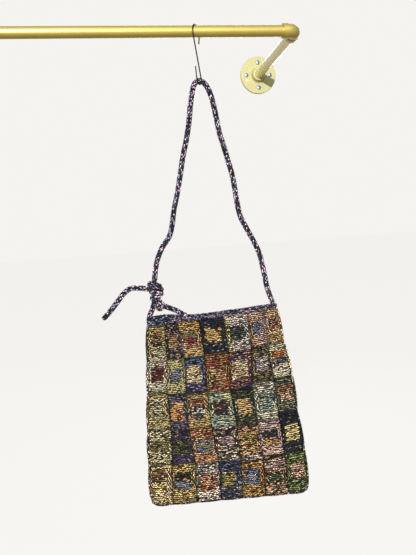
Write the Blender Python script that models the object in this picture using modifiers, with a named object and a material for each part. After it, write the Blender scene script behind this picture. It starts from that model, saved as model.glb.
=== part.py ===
"""A crocheted patchwork shoulder bag, hung by its cord strap from an S-hook on a wall rail.

The origin is the centre of the wall flange's back face. +X runs along the rail, +Y points into
the wall and +Z is up. Sizes are written in millimetres times MM, so they come out in metres.

The bag hangs in its own frame: across (to the right), depth (towards the room) and height (up,
measured from the rail's axis). It hangs turned a little about the upright through the hook.
"""

import math

import bmesh
import bpy
from mathutils import Matrix, Vector

MM = 0.001
GAP = 0.3 * MM
MERGE = 0.00001

# The rail, its elbow and the arm to the wall: 21.7 mm pipe.
PIPE_RADIUS = 10.85 * MM
PIPE_SIDES = 32
BORE_RADIUS = PIPE_RADIUS + GAP
WALL_DISTANCE = 291.8 * MM
RAIL_END = -592 * MM
ELBOW_REACH = 27 * MM
ELBOW_BEND = 14.2 * MM
ELBOW_RADIUS = 13.4 * MM
ELBOW_SOCKET = 12 * MM
BAND_RADIUS = 14.5 * MM
BAND_WIDTH = 9 * MM
CAP_RADIUS = 13.2 * MM
CAP_DEPTH = 12 * MM
CAP_WALL = 3.5 * MM

# The wall flange and its four pan-head screws.
FLANGE_RADIUS = 47.2 * MM
FLANGE_PLATE = 5 * MM
FLANGE_EDGE = 1 * MM
HUB_FOOT = 19.5 * MM
HUB_RADIUS = 16.8 * MM
HUB_HEIGHT = 16 * MM
SCREW_CIRCLE = 31.6 * MM
SCREW_COUNT = 4
SCREW_HEAD = 5.3 * MM
SCREW_HEAD_HEIGHT = 2.6 * MM
SHANK_RADIUS = 2.3 * MM
SHANK_LENGTH = 4.3 * MM

# The S-hook, one bent wire that sits turned on the rail.
HOOK_X = -205.5 * MM
HOOK_TWIST = math.radians(32)
WIRE_RADIUS = 1.4 * MM
UPPER_LOOP = 15.8 * MM
LOWER_LOOP = 11.2 * MM
HOOK_TOP = PIPE_RADIUS + GAP + WIRE_RADIUS
SHAFT_LEAN = math.radians(17.8)
UPPER_TIP = (11 * MM, -20 * MM)
LOWER_TIP = (-13.6 * MM, -69 * MM)

# The bag: seven columns and five rows of patches, front and back.
BAG_TURN = math.radians(6)
COLUMNS = 7
ROWS = 5
STEPS_ACROSS = 4
STEPS_DOWN = 5
SHEET = 4 * MM
PATCH_CROWN = 3 * MM
SIDE_SCALLOP = 2.5 * MM
FOOT_SCALLOP = 1.5 * MM
CORNER_LIFT = 5.5 * MM
CORNER_PULL = 3 * MM
SEAM_RADIUS = 3 * MM
RIM_THICKNESS = 5 * MM
RIM_CLEARANCE = 1.1 * MM
RIM_BULGE = 0.8 * MM

# Half of the distance between the two panels' middles, at the side seams and mid-bag.
SIDE_HALF_DEPTH = 3.4 * MM
MOUTH_SIDE_EXTRA = 2.6 * MM
BELLY_DEPTH = 12.5 * MM
MOUTH_BELLY_SHARE = 0.4
BELLY_FULL_BELOW = 0.28

# A row for each crochet seam between the patches, from the mouth down, in millimetres: its
# height at the left and right, the left edge, the six upright seams, the right edge.
SEAM_LINES = (
    (-576, -563, -140, -107, -79, -35, 16, 67, 104, 128),
    (-659, -641, -146, -107, -71, -29, 23, 71, 107, 139),
    (-730, -715, -151, -112, -73, -28, 21, 68, 116, 154),
    (-807, -798, -157, -110, -72, -24, 30, 75, 122, 161),
    (-886, -884, -161, -113, -64, -14, 34, 83, 130, 173),
    (-978, -980, -164, -119, -67, -13, 34, 85, 136, 179),
)

# How far each column's patch ends above (or, with a minus, below) the straight line of its seam,
# in millimetres, a row for each seam line. The step runs out over a short share of the column.
SEAM_STEPS = (
    (-6, -5.5, -5, -3.5, -1, 0, 0.5),
    (0, 0, 0, 3, 0, 3, 4),
    (1, -2, -5.5, -10, -8, -1, 2),
    (0, -5, -2.5, -6, -9, -4.5, 1.5),
    (1.5, 0, -2, -3, -7, 0, 0),
    (0, 0, 0, 0, 0, 0, 0),
)
STEP_RUN = 0.25

# Height of the rim's top edge above the mouth's straight line, in millimetres, at each of the
# eight upright seams. The back's edge stands above the front's on the left, where the mouth gapes.
RIM_TOPS = {
    1: (11, 6, 2.5, 2.5, 4.6, 6, 7, 7),
    -1: (11, 12, 6, 3.2, 4.2, 5.5, 6.5, 7),
}

# Soft upright folds, in millimetres: side (1 front, -1 back), place at the mouth, place at its
# lower end, height of the lower end, depth, half width.
FOLDS = (
    (1, -107, -111, -690, 9, 17),
    (1, -78, -74, -650, 4, 11),
    (1, 96, 118, -800, 3, 16),
    (1, 10, -30, -900, -2.5, 34),
    (-1, 60, 52, -740, 4, 19),
    (-1, -12, -40, -820, 3, 20),
    (-1, -82, -88, -680, -4.5, 26),
)

# The cords' routes in the bag's frame, in millimetres: across, depth, height. The strap's bend
# lies in the hook's lower loop, a little clear of its wire.
STRAP_RADIUS = 5.3 * MM
STRAP_APEX = -93.5 * MM
STRAP_BEND_FOOT = -118 * MM
HOOK_BOTTOM = STRAP_APEX - STRAP_RADIUS - 2 * GAP - WIRE_RADIUS
STRAP_ROUTE = (
    (124.5, 0, -555.4), (114, 0, -521), (110, 0, -495), (106, 0, -470), (101, 0, -446),
    (91, 0, -421), (77, 0, -392), (66, 0, -367), (61, 0, -338), (58, 0, -309), (54, 0, -280),
    (47, 0, -250), (40, 0, -221), (33.5, 0, -196), (29.5, 0, -168), (25.5, 0, -142),
    (20.5, 0, -120), (12, 0, -101.8), (0, 0, -93.5), (-11, 0, -101.2), (-16.5, 0, -119),
    (-21.5, 0, -143), (-26.5, 0, -174), (-33.5, 0, -205), (-43, 0, -239), (-51, 0, -274),
    (-59.5, 0, -310), (-69.5, 0, -346), (-76, 1, -378), (-84, 2, -400), (-99, 2, -420),
    (-110.5, 1, -443), (-117, 1, -466), (-120.5, 1, -488), (-122, 0, -510), (-124, -2, -530),
    (-129, -3, -545), (-138.5, 0, -563.2),
)
TIE_RADIUS = 4.8 * MM
TIE_ROUTE = (
    (-58, 1.6, -568), (-72, -0.8, -559.5), (-86, 3, -550.5), (-103, 8, -542), (-113, 8, -532),
    (-121, 7, -516), (-128, 7, -506), (-138, 8, -502.5), (-153, 9, -500), (-170, 10, -499.5),
    (-184, 10, -508), (-196, 9, -521), (-208, 8, -535), (-220, 8, -548), (-233, 8, -560),
)
FINE_SPACING = 3 * MM
STRAP_THINNING = 8
TIE_THINNING = 4
BEND_THINNING = 2
CORD_CLEARANCE = 0.6 * MM
KNOT_TOP = -488 * MM
KNOT_FOOT = -538 * MM
KNOT_LEFT = -137 * MM
KNOT_RIGHT = -100 * MM
KNOT_WRAPS = (
    # centre across, depth, height; lean in degrees
    (-120.5, 2, -500, 22),
    (-119.5, 3, -518, -24),
)
WRAP_RADIUS = 9.6 * MM
WRAP_CORD = 5.6 * MM
KNOT_BALL = (-114, 8, -542)
KNOT_BALL_RADIUS = 10 * MM


def clear_scene():
    for item in list(bpy.data.objects):
        bpy.data.objects.remove(item, do_unlink=True)


def new_collection(name):
    collection = bpy.data.collections.new(name)
    bpy.context.scene.collection.children.link(collection)
    return collection


def new_material(name, colour, roughness, metallic=0.0):
    material = bpy.data.materials.new(name)
    material.use_nodes = True
    shader = material.node_tree.nodes["Principled BSDF"]
    shader.inputs["Base Color"].default_value = (*colour, 1.0)
    shader.inputs["Roughness"].default_value = roughness
    shader.inputs["Metallic"].default_value = metallic
    material.diffuse_color = (*colour, 1.0)
    return material


def bag_point(across, depth, height):
    """A point of the bag's frame, in metres, as a world point."""
    turn = Matrix.Rotation(-BAG_TURN, 3, "Z")
    return Vector((HOOK_X, -WALL_DISTANCE, 0)) + turn @ Vector((across, -depth, height))


def route_points(route):
    return [Vector(point) * MM for point in route]


def smooth_line(points, spacing):
    """Points at an even spacing along a smooth curve through the given points."""
    padded = [points[0] * 2 - points[1], *points, points[-1] * 2 - points[-2]]
    fine = []
    pieces = 12
    for a, b, c, d in zip(padded, padded[1:], padded[2:], padded[3:]):
        for step in range(pieces):
            t = step / pieces
            fine.append(0.5 * (2 * b + (c - a) * t + (2 * a - 5 * b + 4 * c - d) * t * t
                               + (3 * b - a - 3 * c + d) * t ** 3))
    fine.append(points[-1])
    lengths = [0.0]
    for a, b in zip(fine, fine[1:]):
        lengths.append(lengths[-1] + (b - a).length)
    count = max(2, round(lengths[-1] / spacing))
    line = []
    index = 0
    for step in range(count + 1):
        wanted = lengths[-1] * step / count
        while index < len(fine) - 2 and lengths[index + 1] < wanted:
            index += 1
        span = lengths[index + 1] - lengths[index]
        line.append(fine[index].lerp(fine[index + 1], (wanted - lengths[index]) / span))
    return line


def new_curve(name, points, radius, collection, material, resolution=2):
    """A round cord, wire or tube along points in the world frame."""
    data = bpy.data.curves.new(name, "CURVE")
    data.dimensions = "3D"
    data.bevel_depth = radius
    data.bevel_resolution = resolution
    data.use_fill_caps = True
    spline = data.splines.new("POLY")
    spline.points.add(len(points) - 1)
    for index, point in enumerate(points):
        spline.points[index].co = (*point, 1)
    spline.use_smooth = True
    data.materials.append(material)
    item = bpy.data.objects.new(name, data)
    collection.objects.link(item)
    return item


def as_mesh(curve_object):
    """The same cord as a mesh with its caps welded on, so that a Boolean can use it."""
    bpy.context.view_layer.update()
    name = curve_object.name
    evaluated = curve_object.evaluated_get(bpy.context.evaluated_depsgraph_get())
    mesh = bpy.data.meshes.new_from_object(evaluated)
    collections = list(curve_object.users_collection)
    place = curve_object.matrix_world.copy()
    bpy.data.objects.remove(curve_object, do_unlink=True)
    work = bmesh.new()
    work.from_mesh(mesh)
    bmesh.ops.remove_doubles(work, verts=work.verts, dist=MERGE)
    work.to_mesh(mesh)
    work.free()
    item = bpy.data.objects.new(name, mesh)
    item.matrix_world = place
    for collection in collections:
        collection.objects.link(item)
    return item


def take_from_operator(name, collection, material):
    """Name the object that a primitive operator has just added, and file it."""
    item = bpy.context.active_object
    item.name = name
    item.data.name = name
    for old in list(item.users_collection):
        old.objects.unlink(item)
    collection.objects.link(item)
    item.data.materials.append(material)
    return item


def shade_round(item):
    item.data.shade_smooth()
    item.data.set_sharp_from_angle(angle=math.radians(35))


def hide_cutter(item):
    item.hide_render = True
    item.display_type = "WIRE"


def add_boolean(item, other, operation):
    modifier = item.modifiers.new(f"{operation.title()} {other.name}", "BOOLEAN")
    modifier.operation = operation
    modifier.solver = "EXACT"
    modifier.object = other
    hide_cutter(other)


def along(axis):
    """The turn that points local +Z along a world axis."""
    return Vector((0, 0, 1)).rotation_difference(Vector(axis)).to_euler()


def new_cylinder(name, start, end, radius, collection, material, sides=PIPE_SIDES):
    start = Vector(start)
    end = Vector(end)
    bpy.ops.mesh.primitive_cylinder_add(
        vertices=sides, radius=radius, depth=(end - start).length,
        location=(start + end) / 2, rotation=along((end - start).normalized()))
    item = take_from_operator(name, collection, material)
    shade_round(item)
    return item


def new_turned(name, profile, place, axis, collection, material, sides=PIPE_SIDES):
    """A turned piece: profile rows are (radius, distance along the axis), outer side downwards."""
    mesh = bpy.data.meshes.new(name)
    points = [(radius, 0, height) for radius, height in profile]
    mesh.from_pydata(points, [(i, i + 1) for i in range(len(points) - 1)], [])
    mesh.materials.append(material)
    item = bpy.data.objects.new(name, mesh)
    item.location = place
    item.rotation_euler = along(axis)
    collection.objects.link(item)
    screw = item.modifiers.new("Turn", "SCREW")
    screw.axis = "Z"
    screw.angle = math.tau
    screw.steps = sides
    screw.render_steps = sides
    screw.use_merge_vertices = True
    screw.merge_threshold = MERGE
    screw.use_smooth_shade = True
    return item


def build_rail(parts, cutters, brass):
    """The rail with its end cap, the elbow and the arm that carries it from the wall."""
    rail_axis_y = -WALL_DISTANCE
    socket_floor = ELBOW_REACH - ELBOW_SOCKET
    new_cylinder("rail", (RAIL_END, rail_axis_y, 0), (-socket_floor - GAP, rail_axis_y, 0),
                 PIPE_RADIUS, parts, brass)
    new_cylinder("bracket_arm", (0, rail_axis_y + socket_floor + GAP, 0),
                 (0, -FLANGE_PLATE - GAP, 0), PIPE_RADIUS, parts, brass)
    cap = ((0, -GAP), (BORE_RADIUS, -GAP), (BORE_RADIUS, CAP_DEPTH), (CAP_RADIUS, CAP_DEPTH),
           (CAP_RADIUS, -CAP_WALL + MM), (CAP_RADIUS - MM, -CAP_WALL), (0, -CAP_WALL))
    new_turned("rail_end_cap", cap, (RAIL_END, rail_axis_y, 0), (1, 0, 0), parts, brass)

    # The elbow: a bent body with a band at each mouth, bored for the two pipes.
    quarter = 8
    bend = [Vector((-ELBOW_REACH, rail_axis_y, 0))]
    for step in range(quarter + 1):
        angle = math.radians(-90 + 90 * step / quarter)
        bend.append(Vector((-ELBOW_BEND + ELBOW_BEND * math.cos(angle),
                            rail_axis_y + ELBOW_BEND + ELBOW_BEND * math.sin(angle), 0)))
    bend.append(Vector((0, rail_axis_y + ELBOW_REACH, 0)))
    elbow = as_mesh(new_curve("elbow", bend, ELBOW_RADIUS, parts, brass, resolution=8))
    shade_round(elbow)
    mouths = (Vector((-ELBOW_REACH, rail_axis_y, 0)), Vector((0, rail_axis_y + ELBOW_REACH, 0)))
    inwards = (Vector((1, 0, 0)), Vector((0, -1, 0)))
    for index, (mouth, inward) in enumerate(zip(mouths, inwards), 1):
        lip = 0.4 * MM
        band = new_cylinder(f"elbow_band_{index}", mouth - inward * lip,
                            mouth + inward * BAND_WIDTH, BAND_RADIUS, cutters, brass)
        add_boolean(elbow, band, "UNION")
    for index, (mouth, inward) in enumerate(zip(mouths, inwards), 1):
        bore = new_cylinder(f"elbow_bore_{index}", mouth - inward * BAND_WIDTH,
                            mouth + inward * ELBOW_SOCKET, BORE_RADIUS, cutters, brass)
        add_boolean(elbow, bore, "DIFFERENCE")


def build_flange(parts, cutters, brass, steel):
    """The wall flange with its hub and four screws, turned about the arm's axis."""
    out = (0, -1, 0)
    profile = ((0, FLANGE_PLATE), (BORE_RADIUS, FLANGE_PLATE), (BORE_RADIUS, HUB_HEIGHT),
               (HUB_RADIUS - MM, HUB_HEIGHT), (HUB_RADIUS, HUB_HEIGHT - MM),
               (HUB_RADIUS + MM, FLANGE_PLATE + 3 * MM), (HUB_FOOT, FLANGE_PLATE),
               (FLANGE_RADIUS - FLANGE_EDGE, FLANGE_PLATE),
               (FLANGE_RADIUS, FLANGE_PLATE - FLANGE_EDGE), (FLANGE_RADIUS, 0), (0, 0))
    flange = new_turned("wall_flange", profile, (0, 0, 0), out, parts, brass, sides=48)
    head = FLANGE_PLATE + GAP
    screw = ((0, head + SCREW_HEAD_HEIGHT), (SCREW_HEAD * 0.55, head + SCREW_HEAD_HEIGHT * 0.9),
             (SCREW_HEAD * 0.9, head + SCREW_HEAD_HEIGHT * 0.55), (SCREW_HEAD, head + 0.4 * MM),
             (SCREW_HEAD, head), (SHANK_RADIUS, head), (SHANK_RADIUS, head - SHANK_LENGTH),
             (0, head - SHANK_LENGTH))
    for index in range(SCREW_COUNT):
        angle = math.radians(90 + 360 * index / SCREW_COUNT)
        place = Vector((SCREW_CIRCLE * math.cos(angle), 0, SCREW_CIRCLE * math.sin(angle)))
        new_turned(f"flange_screw_{index + 1}", screw, place, out, parts, steel, sides=16)
        hole = new_cylinder(f"screw_hole_{index + 1}", place + Vector((0, MM, 0)),
                            place - Vector((0, FLANGE_PLATE + MM, 0)), SHANK_RADIUS + GAP,
                            cutters, brass, sides=16)
        add_boolean(flange, hole, "DIFFERENCE")


def build_hook(parts, steel):
    """The S-hook: over the rail's top, down a leaning shaft, and up in front of the strap."""
    across_rail = Vector((math.sin(HOOK_TWIST), math.cos(HOOK_TWIST), 0))
    start = Vector((HOOK_X, -WALL_DISTANCE, 0))
    upper_centre = HOOK_TOP - UPPER_LOOP
    lower_centre = HOOK_BOTTOM + LOWER_LOOP
    line = [UPPER_TIP]
    upper_steps = 12
    lower_steps = 11
    first = math.radians(-14)
    last = math.pi + SHAFT_LEAN
    for step in range(upper_steps + 1):
        angle = first + (last - first) * step / upper_steps
        line.append((UPPER_LOOP * math.cos(angle), upper_centre + UPPER_LOOP * math.sin(angle)))
    first = SHAFT_LEAN
    last = -math.pi
    for step in range(lower_steps + 1):
        angle = first + (last - first) * step / lower_steps
        line.append((LOWER_LOOP * math.cos(angle), lower_centre + LOWER_LOOP * math.sin(angle)))
    line.append(LOWER_TIP)
    points = [start + across_rail * h + Vector((0, 0, z)) for h, z in line]
    new_curve("s_hook", points, WIRE_RADIUS, parts, steel)


def seam_across(line, column_place):
    """Across of a place on one seam line, in millimetres."""
    column = min(int(column_place), COLUMNS - 1)
    part = column_place - column
    edges = SEAM_LINES[line][2:]
    return edges[column] * (1 - part) + edges[column + 1] * part


def seam_height(line, column_place):
    """Height of a place on one seam line, in millimetres, with the column's own step."""
    column = min(int(column_place), COLUMNS - 1)
    part = column_place - column
    left, right = SEAM_LINES[line][:2]
    share = column_place / COLUMNS
    steps = SEAM_STEPS[line]
    before = steps[max(column - 1, 0)]
    after = steps[min(column + 1, COLUMNS - 1)]
    from_left = max(0.0, 1 - part / STEP_RUN) / 2
    from_right = max(0.0, 1 - (1 - part) / STEP_RUN) / 2
    own = 1 - from_left - from_right
    return (left * (1 - share) + right * share
            + before * from_left + steps[column] * own + after * from_right)


def seam_value(row_place, seam, column_place):
    """Read a seam function between two seam lines."""
    row = min(int(row_place), ROWS - 1)
    part = row_place - row
    return (seam(row, column_place) * (1 - part) + seam(row + 1, column_place) * part) * MM


def bag_outline(column_place, row_place):
    """Across and height of a place on the patchwork, from its column and row."""
    across = seam_value(row_place, seam_across, column_place)
    height = seam_value(row_place, seam_height, column_place)
    side = 2 * column_place / COLUMNS - 1
    bulge = math.sin(math.pi * (row_place % 1.0))
    across += SIDE_SCALLOP * bulge * abs(side) ** 5 * math.copysign(1, side)
    drop = (row_place / ROWS) ** 12
    height -= FOOT_SCALLOP * drop * math.sin(math.pi * (column_place % 1.0))
    corner = abs(side) ** 24 * (row_place / ROWS) ** 24
    return across - math.copysign(CORNER_PULL, side) * corner, height + CORNER_LIFT * corner


def fold_depth(face, across, height):
    """How far the folds draw the cloth in at a place on one face of the bag."""
    total = 0.0
    mouth = SEAM_LINES[0][0] * MM
    for side, top, foot, foot_height, depth, half_width in FOLDS:
        if side != face:
            continue
        fall = (mouth - height) / (mouth - foot_height * MM)
        place = (top + (foot - top) * fall) * MM
        strength = max(0.0, 1 - max(0.0, fall) ** 2)
        total += depth * MM * strength * math.exp(-((across - place) / (half_width * MM)) ** 2)
    return total


def half_depth(column_place, row_place, face):
    """Distance from the bag's middle plane to the middle of one panel's cloth."""
    across, height = bag_outline(column_place, row_place)
    side = abs(2 * column_place / COLUMNS - 1)
    fall = row_place / ROWS
    open_share = min(1.0, fall / BELLY_FULL_BELOW)
    open_share = open_share * open_share * (3 - 2 * open_share)
    fullness = MOUTH_BELLY_SHARE + (1 - MOUTH_BELLY_SHARE) * open_share
    belly = BELLY_DEPTH * fullness * (1 - side ** 3.2) * (1 - fall ** 5)
    edge = SIDE_HALF_DEPTH + MOUTH_SIDE_EXTRA * max(0.0, 1 - 4 * fall)
    crown = 1.0
    for place in (column_place % 1.0, row_place % 1.0):
        crown *= 1 - (2 * place - 1) ** 4
    inside = (1 - side ** 8) * (1 - fall ** 12)
    fold = fold_depth(face, across, height) * (1 - side ** 4)
    return edge + belly + (PATCH_CROWN * crown - fold) * inside


def build_panel(name, face, parts, yarn):
    """One face of the bag: a sheet with crowned patches, seams between them and soft folds."""
    bpy.ops.mesh.primitive_grid_add(x_subdivisions=COLUMNS * STEPS_ACROSS,
                                    y_subdivisions=ROWS * STEPS_DOWN, size=1)
    item = take_from_operator(name, parts, yarn)
    for vertex in item.data.vertices:
        column_place = (vertex.co.x + 0.5) * COLUMNS
        row_place = (0.5 - vertex.co.y) * ROWS
        column_place = round(column_place * STEPS_ACROSS) / STEPS_ACROSS
        row_place = round(row_place * STEPS_DOWN) / STEPS_DOWN
        across, height = bag_outline(column_place, row_place)
        depth = half_depth(column_place, row_place, face) * face
        vertex.co = bag_point(across, depth, height)
    if face < 0:
        item.data.flip_normals()
    thicken = item.modifiers.new("Thickness", "SOLIDIFY")
    thicken.thickness = SHEET
    thicken.offset = 0
    thicken.use_even_offset = False
    shade_round(item)
    return item


def build_edge_seam(parts, yarn):
    """The crocheted join down both sides and along the foot, just outside the panels' edges."""
    clear = SEAM_RADIUS + GAP
    places = [(0, row / STEPS_DOWN) for row in range(ROWS * STEPS_DOWN)]
    places += [(column / STEPS_ACROSS, ROWS) for column in range(COLUMNS * STEPS_ACROSS + 1)]
    places += [(COLUMNS, row / STEPS_DOWN) for row in range(ROWS * STEPS_DOWN - 1, -1, -1)]
    edge = []
    for column_place, row_place in places:
        across, height = bag_outline(column_place, row_place)
        edge.append(Vector((across, 0, height)))
    line = []
    for index, place in enumerate(edge):
        before = edge[max(index - 1, 0)]
        after = edge[min(index + 1, len(edge) - 1)]
        run = (after - before).normalized()
        outward = Vector((run.z, 0, -run.x))
        line.append(place + outward * clear)
    line[0].z -= clear / 2
    line[-1].z -= clear / 2
    new_curve("edge_seam", [bag_point(*point) for point in line], SEAM_RADIUS, parts, yarn,
              resolution=1)


def rim_top(face, column_place):
    """Height of the rim's top edge at a place on one face."""
    column = min(int(column_place), COLUMNS - 1)
    part = column_place - column
    share = column_place / COLUMNS
    left, right = SEAM_LINES[0][:2]
    tops = RIM_TOPS[face]
    above = tops[column] * (1 - part) + tops[column + 1] * part
    return (left * (1 - share) + right * share + above) * MM


def build_rim(parts, yarn):
    """The crocheted band round the mouth, standing on the top edges of both panels."""
    end_reach = 3.4 * MM
    steps = COLUMNS * STEPS_ACROSS
    ring = []
    for face, order in ((1, range(steps + 1)), (-1, range(steps, -1, -1))):
        for step in order:
            column_place = step / STEPS_ACROSS
            across, height = bag_outline(column_place, 0)
            foot = height + RIM_CLEARANCE
            ring.append((across, half_depth(column_place, 0, face) * face, foot,
                         rim_top(face, column_place) - foot))
        last = ring[-1]
        reach = math.copysign(end_reach, face)
        ring.append((last[0] + reach, 0, last[2], last[3]))
    rows = 3
    work = bmesh.new()
    bmesh.ops.create_circle(work, segments=len(ring), radius=1)
    loops = [list(work.verts)]
    edges = list(work.edges)
    for _ in range(rows - 1):
        made = bmesh.ops.extrude_edge_only(work, edges=edges)["geom"]
        loops.append([part for part in made if isinstance(part, bmesh.types.BMVert)])
        edges = [part for part in made if isinstance(part, bmesh.types.BMEdge)]
    for level, loop in enumerate(loops):
        rise = level / (rows - 1)
        for vertex in loop:
            turn = math.atan2(vertex.co.y, vertex.co.x) % math.tau
            across, depth, foot, tall = ring[round(turn / math.tau * len(ring)) % len(ring)]
            swell = math.copysign(RIM_BULGE * math.sin(math.pi * rise), depth) if depth else 0
            vertex.co = bag_point(across, depth + swell, foot + tall * rise)
    bmesh.ops.recalc_face_normals(work, faces=work.faces)
    mesh = bpy.data.meshes.new("rim_band")
    work.to_mesh(mesh)
    work.free()
    mesh.materials.append(yarn)
    item = bpy.data.objects.new("rim_band", mesh)
    parts.objects.link(item)
    thicken = item.modifiers.new("Thickness", "SOLIDIFY")
    thicken.thickness = RIM_THICKNESS
    thicken.offset = 0
    shade_round(item)


def cut_line(line, inside):
    """Split a line of points at the first and last point that the test accepts."""
    marks = [index for index, point in enumerate(line) if inside(point)]
    return line[:marks[0] + 1], line[marks[0]:marks[-1] + 1], line[marks[-1]:]


def thin_line(line, every):
    """Fewer points where a cord runs nearly straight, and more at its ends and in its bend."""
    ends = (0, 1, len(line) - 2, len(line) - 1)
    kept = []
    for index, point in enumerate(line):
        in_bend = point.z > STRAP_BEND_FOOT and index % BEND_THINNING == 0
        if index in ends or index % every == 0 or in_bend:
            kept.append(point)
    return kept


def pull_back(line, at_start):
    """Take the cord's clearance off one end of a line."""
    line = list(line)
    if at_start:
        line[0] = line[0] + (line[1] - line[0]).normalized() * CORD_CLEARANCE
    else:
        line[-1] = line[-1] + (line[-2] - line[-1]).normalized() * CORD_CLEARANCE
    return line


def place_line(line):
    return [bag_point(*point) for point in line]


def build_cords(parts, cutters, yarn):
    """The strap, the tie with its free tail, and the knot that they make together."""
    strap = smooth_line(route_points(STRAP_ROUTE), FINE_SPACING)
    loose, held, foot = cut_line(strap, lambda p: p.x < 0 and KNOT_FOOT < p.z < KNOT_TOP)
    loose = pull_back(thin_line(loose, STRAP_THINNING), at_start=False)
    foot = pull_back(thin_line(foot, STRAP_THINNING), at_start=True)
    new_curve("strap", place_line(loose), STRAP_RADIUS, parts, yarn)
    new_curve("strap_foot", place_line(foot), STRAP_RADIUS, parts, yarn)
    held = place_line(thin_line(held, STRAP_THINNING))
    core = as_mesh(new_curve("strap_knot", held, STRAP_RADIUS, parts, yarn))

    tie = smooth_line(route_points(TIE_ROUTE), FINE_SPACING)
    near, crossing, tail = cut_line(tie, lambda p: KNOT_LEFT < p.x < KNOT_RIGHT)
    near = pull_back(thin_line(near, TIE_THINNING), at_start=False)
    tail = pull_back(thin_line(tail, TIE_THINNING), at_start=True)
    new_curve("tie_cord", place_line(near), TIE_RADIUS, parts, yarn)
    new_curve("tie_tail", place_line(tail), TIE_RADIUS, parts, yarn)
    crossing = place_line(thin_line(crossing, TIE_THINNING))
    through = as_mesh(new_curve("knot_crossing", crossing, TIE_RADIUS, cutters, yarn))
    add_boolean(core, through, "UNION")

    for index, (across, depth, height, lean) in enumerate(KNOT_WRAPS, 1):
        bpy.ops.mesh.primitive_torus_add(
            major_radius=WRAP_RADIUS, minor_radius=WRAP_CORD, major_segments=20, minor_segments=10,
            location=bag_point(across * MM, depth * MM, height * MM),
            rotation=(0, math.radians(lean), 0))
        add_boolean(core, take_from_operator(f"knot_wrap_{index}", cutters, yarn), "UNION")
    bpy.ops.mesh.primitive_uv_sphere_add(
        segments=16, ring_count=10, radius=KNOT_BALL_RADIUS,
        location=bag_point(*(Vector(KNOT_BALL) * MM)))
    add_boolean(core, take_from_operator("knot_ball", cutters, yarn), "UNION")
    shade_round(core)


def main():
    clear_scene()
    parts = new_collection("Patchwork bag on a rail")
    cutters = new_collection("Cutters")
    cutters.hide_render = True
    brass = new_material("Satin brass", (0.62, 0.47, 0.16), 0.38, 1.0)
    steel = new_material("Grey steel wire", (0.32, 0.33, 0.34), 0.35, 1.0)
    yarn = new_material("Marled yarn", (0.33, 0.28, 0.2), 0.9)
    navy_yarn = new_material("Navy and mauve yarn", (0.1, 0.1, 0.17), 0.9)
    build_rail(parts, cutters, brass)
    build_flange(parts, cutters, brass, steel)
    build_hook(parts, steel)
    build_panel("front_panel", 1, parts, yarn)
    build_panel("back_panel", -1, parts, yarn)
    build_edge_seam(parts, navy_yarn)
    build_rim(parts, navy_yarn)
    build_cords(parts, cutters, navy_yarn)


main()
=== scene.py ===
"""The looks of a crocheted patchwork shoulder bag that hangs from an S-hook on a brass rail.

Every stitch is a pair of yarn strands. A stitch is first laid out in cells, flat, and then wrapped
on the bag's two faces, round its mouth and edges, or round a cord.

The bag hangs in its own frame: across (to the right), depth (towards the room) and height (up,
measured from the rail's axis), in millimetres in the tables below and in metres in the scene.
"""

import math

import bpy
import numpy as np
from bpy.props import FloatProperty, FloatVectorProperty, IntProperty, PointerProperty
from mathutils import Matrix, Vector


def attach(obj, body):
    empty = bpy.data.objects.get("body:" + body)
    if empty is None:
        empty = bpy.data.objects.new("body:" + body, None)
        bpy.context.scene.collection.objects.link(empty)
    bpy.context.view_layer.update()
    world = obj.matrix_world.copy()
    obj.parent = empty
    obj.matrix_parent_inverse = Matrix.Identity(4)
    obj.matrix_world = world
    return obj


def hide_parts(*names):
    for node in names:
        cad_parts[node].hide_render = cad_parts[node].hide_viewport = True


bl_info = {
    "name": "Crocheted patchwork bag",
    "version": (1, 0, 0),
    "blender": (4, 5, 0),
    "location": "View3D > Sidebar > Bag",
    "description": "Dresses a hanging crocheted patchwork bag, its cords, hook and rail",
    "category": "Add Mesh",
}

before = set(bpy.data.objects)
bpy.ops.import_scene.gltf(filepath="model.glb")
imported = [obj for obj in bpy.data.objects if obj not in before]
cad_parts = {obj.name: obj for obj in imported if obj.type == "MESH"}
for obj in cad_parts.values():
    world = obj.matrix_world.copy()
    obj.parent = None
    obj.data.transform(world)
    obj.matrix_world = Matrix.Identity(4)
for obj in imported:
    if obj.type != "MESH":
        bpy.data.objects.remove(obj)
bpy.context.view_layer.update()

MM = 0.001

# Where the bag hangs, and its grid of patches.
WALL_DISTANCE = 291.8 * MM
HOOK_X = -205.5 * MM
BAG_TURN = math.radians(6)
COLUMNS = 7
ROWS = 5

# A row for each crochet seam between the patches, from the mouth down, in millimetres: its
# height at the left and right, the left edge, the six upright seams, the right edge.
SEAM_LINES = np.array((
    (-576, -563, -140, -107, -79, -35, 16, 67, 104, 128),
    (-659, -641, -146, -107, -71, -29, 23, 71, 107, 139),
    (-730, -715, -151, -112, -73, -28, 21, 68, 116, 154),
    (-807, -798, -157, -110, -72, -24, 30, 75, 122, 161),
    (-886, -884, -161, -113, -64, -14, 34, 83, 130, 173),
    (-978, -980, -164, -119, -67, -13, 34, 85, 136, 179),
), float)
SEAM_EDGES = SEAM_LINES[:, 2:]

# How far each column's patch ends above the straight line of its seam, in millimetres.
SEAM_STEPS = np.array((
    (-6, -5.5, -5, -3.5, -1, 0, 0.5),
    (0, 0, 0, 3, 0, 3, 4),
    (1, -2, -5.5, -10, -8, -1, 2),
    (0, -5, -2.5, -6, -9, -4.5, 1.5),
    (1.5, 0, -2, -3, -7, 0, 0),
    (0, 0, 0, 0, 0, 0, 0),
), float)
STEP_RUN = 0.25

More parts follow.
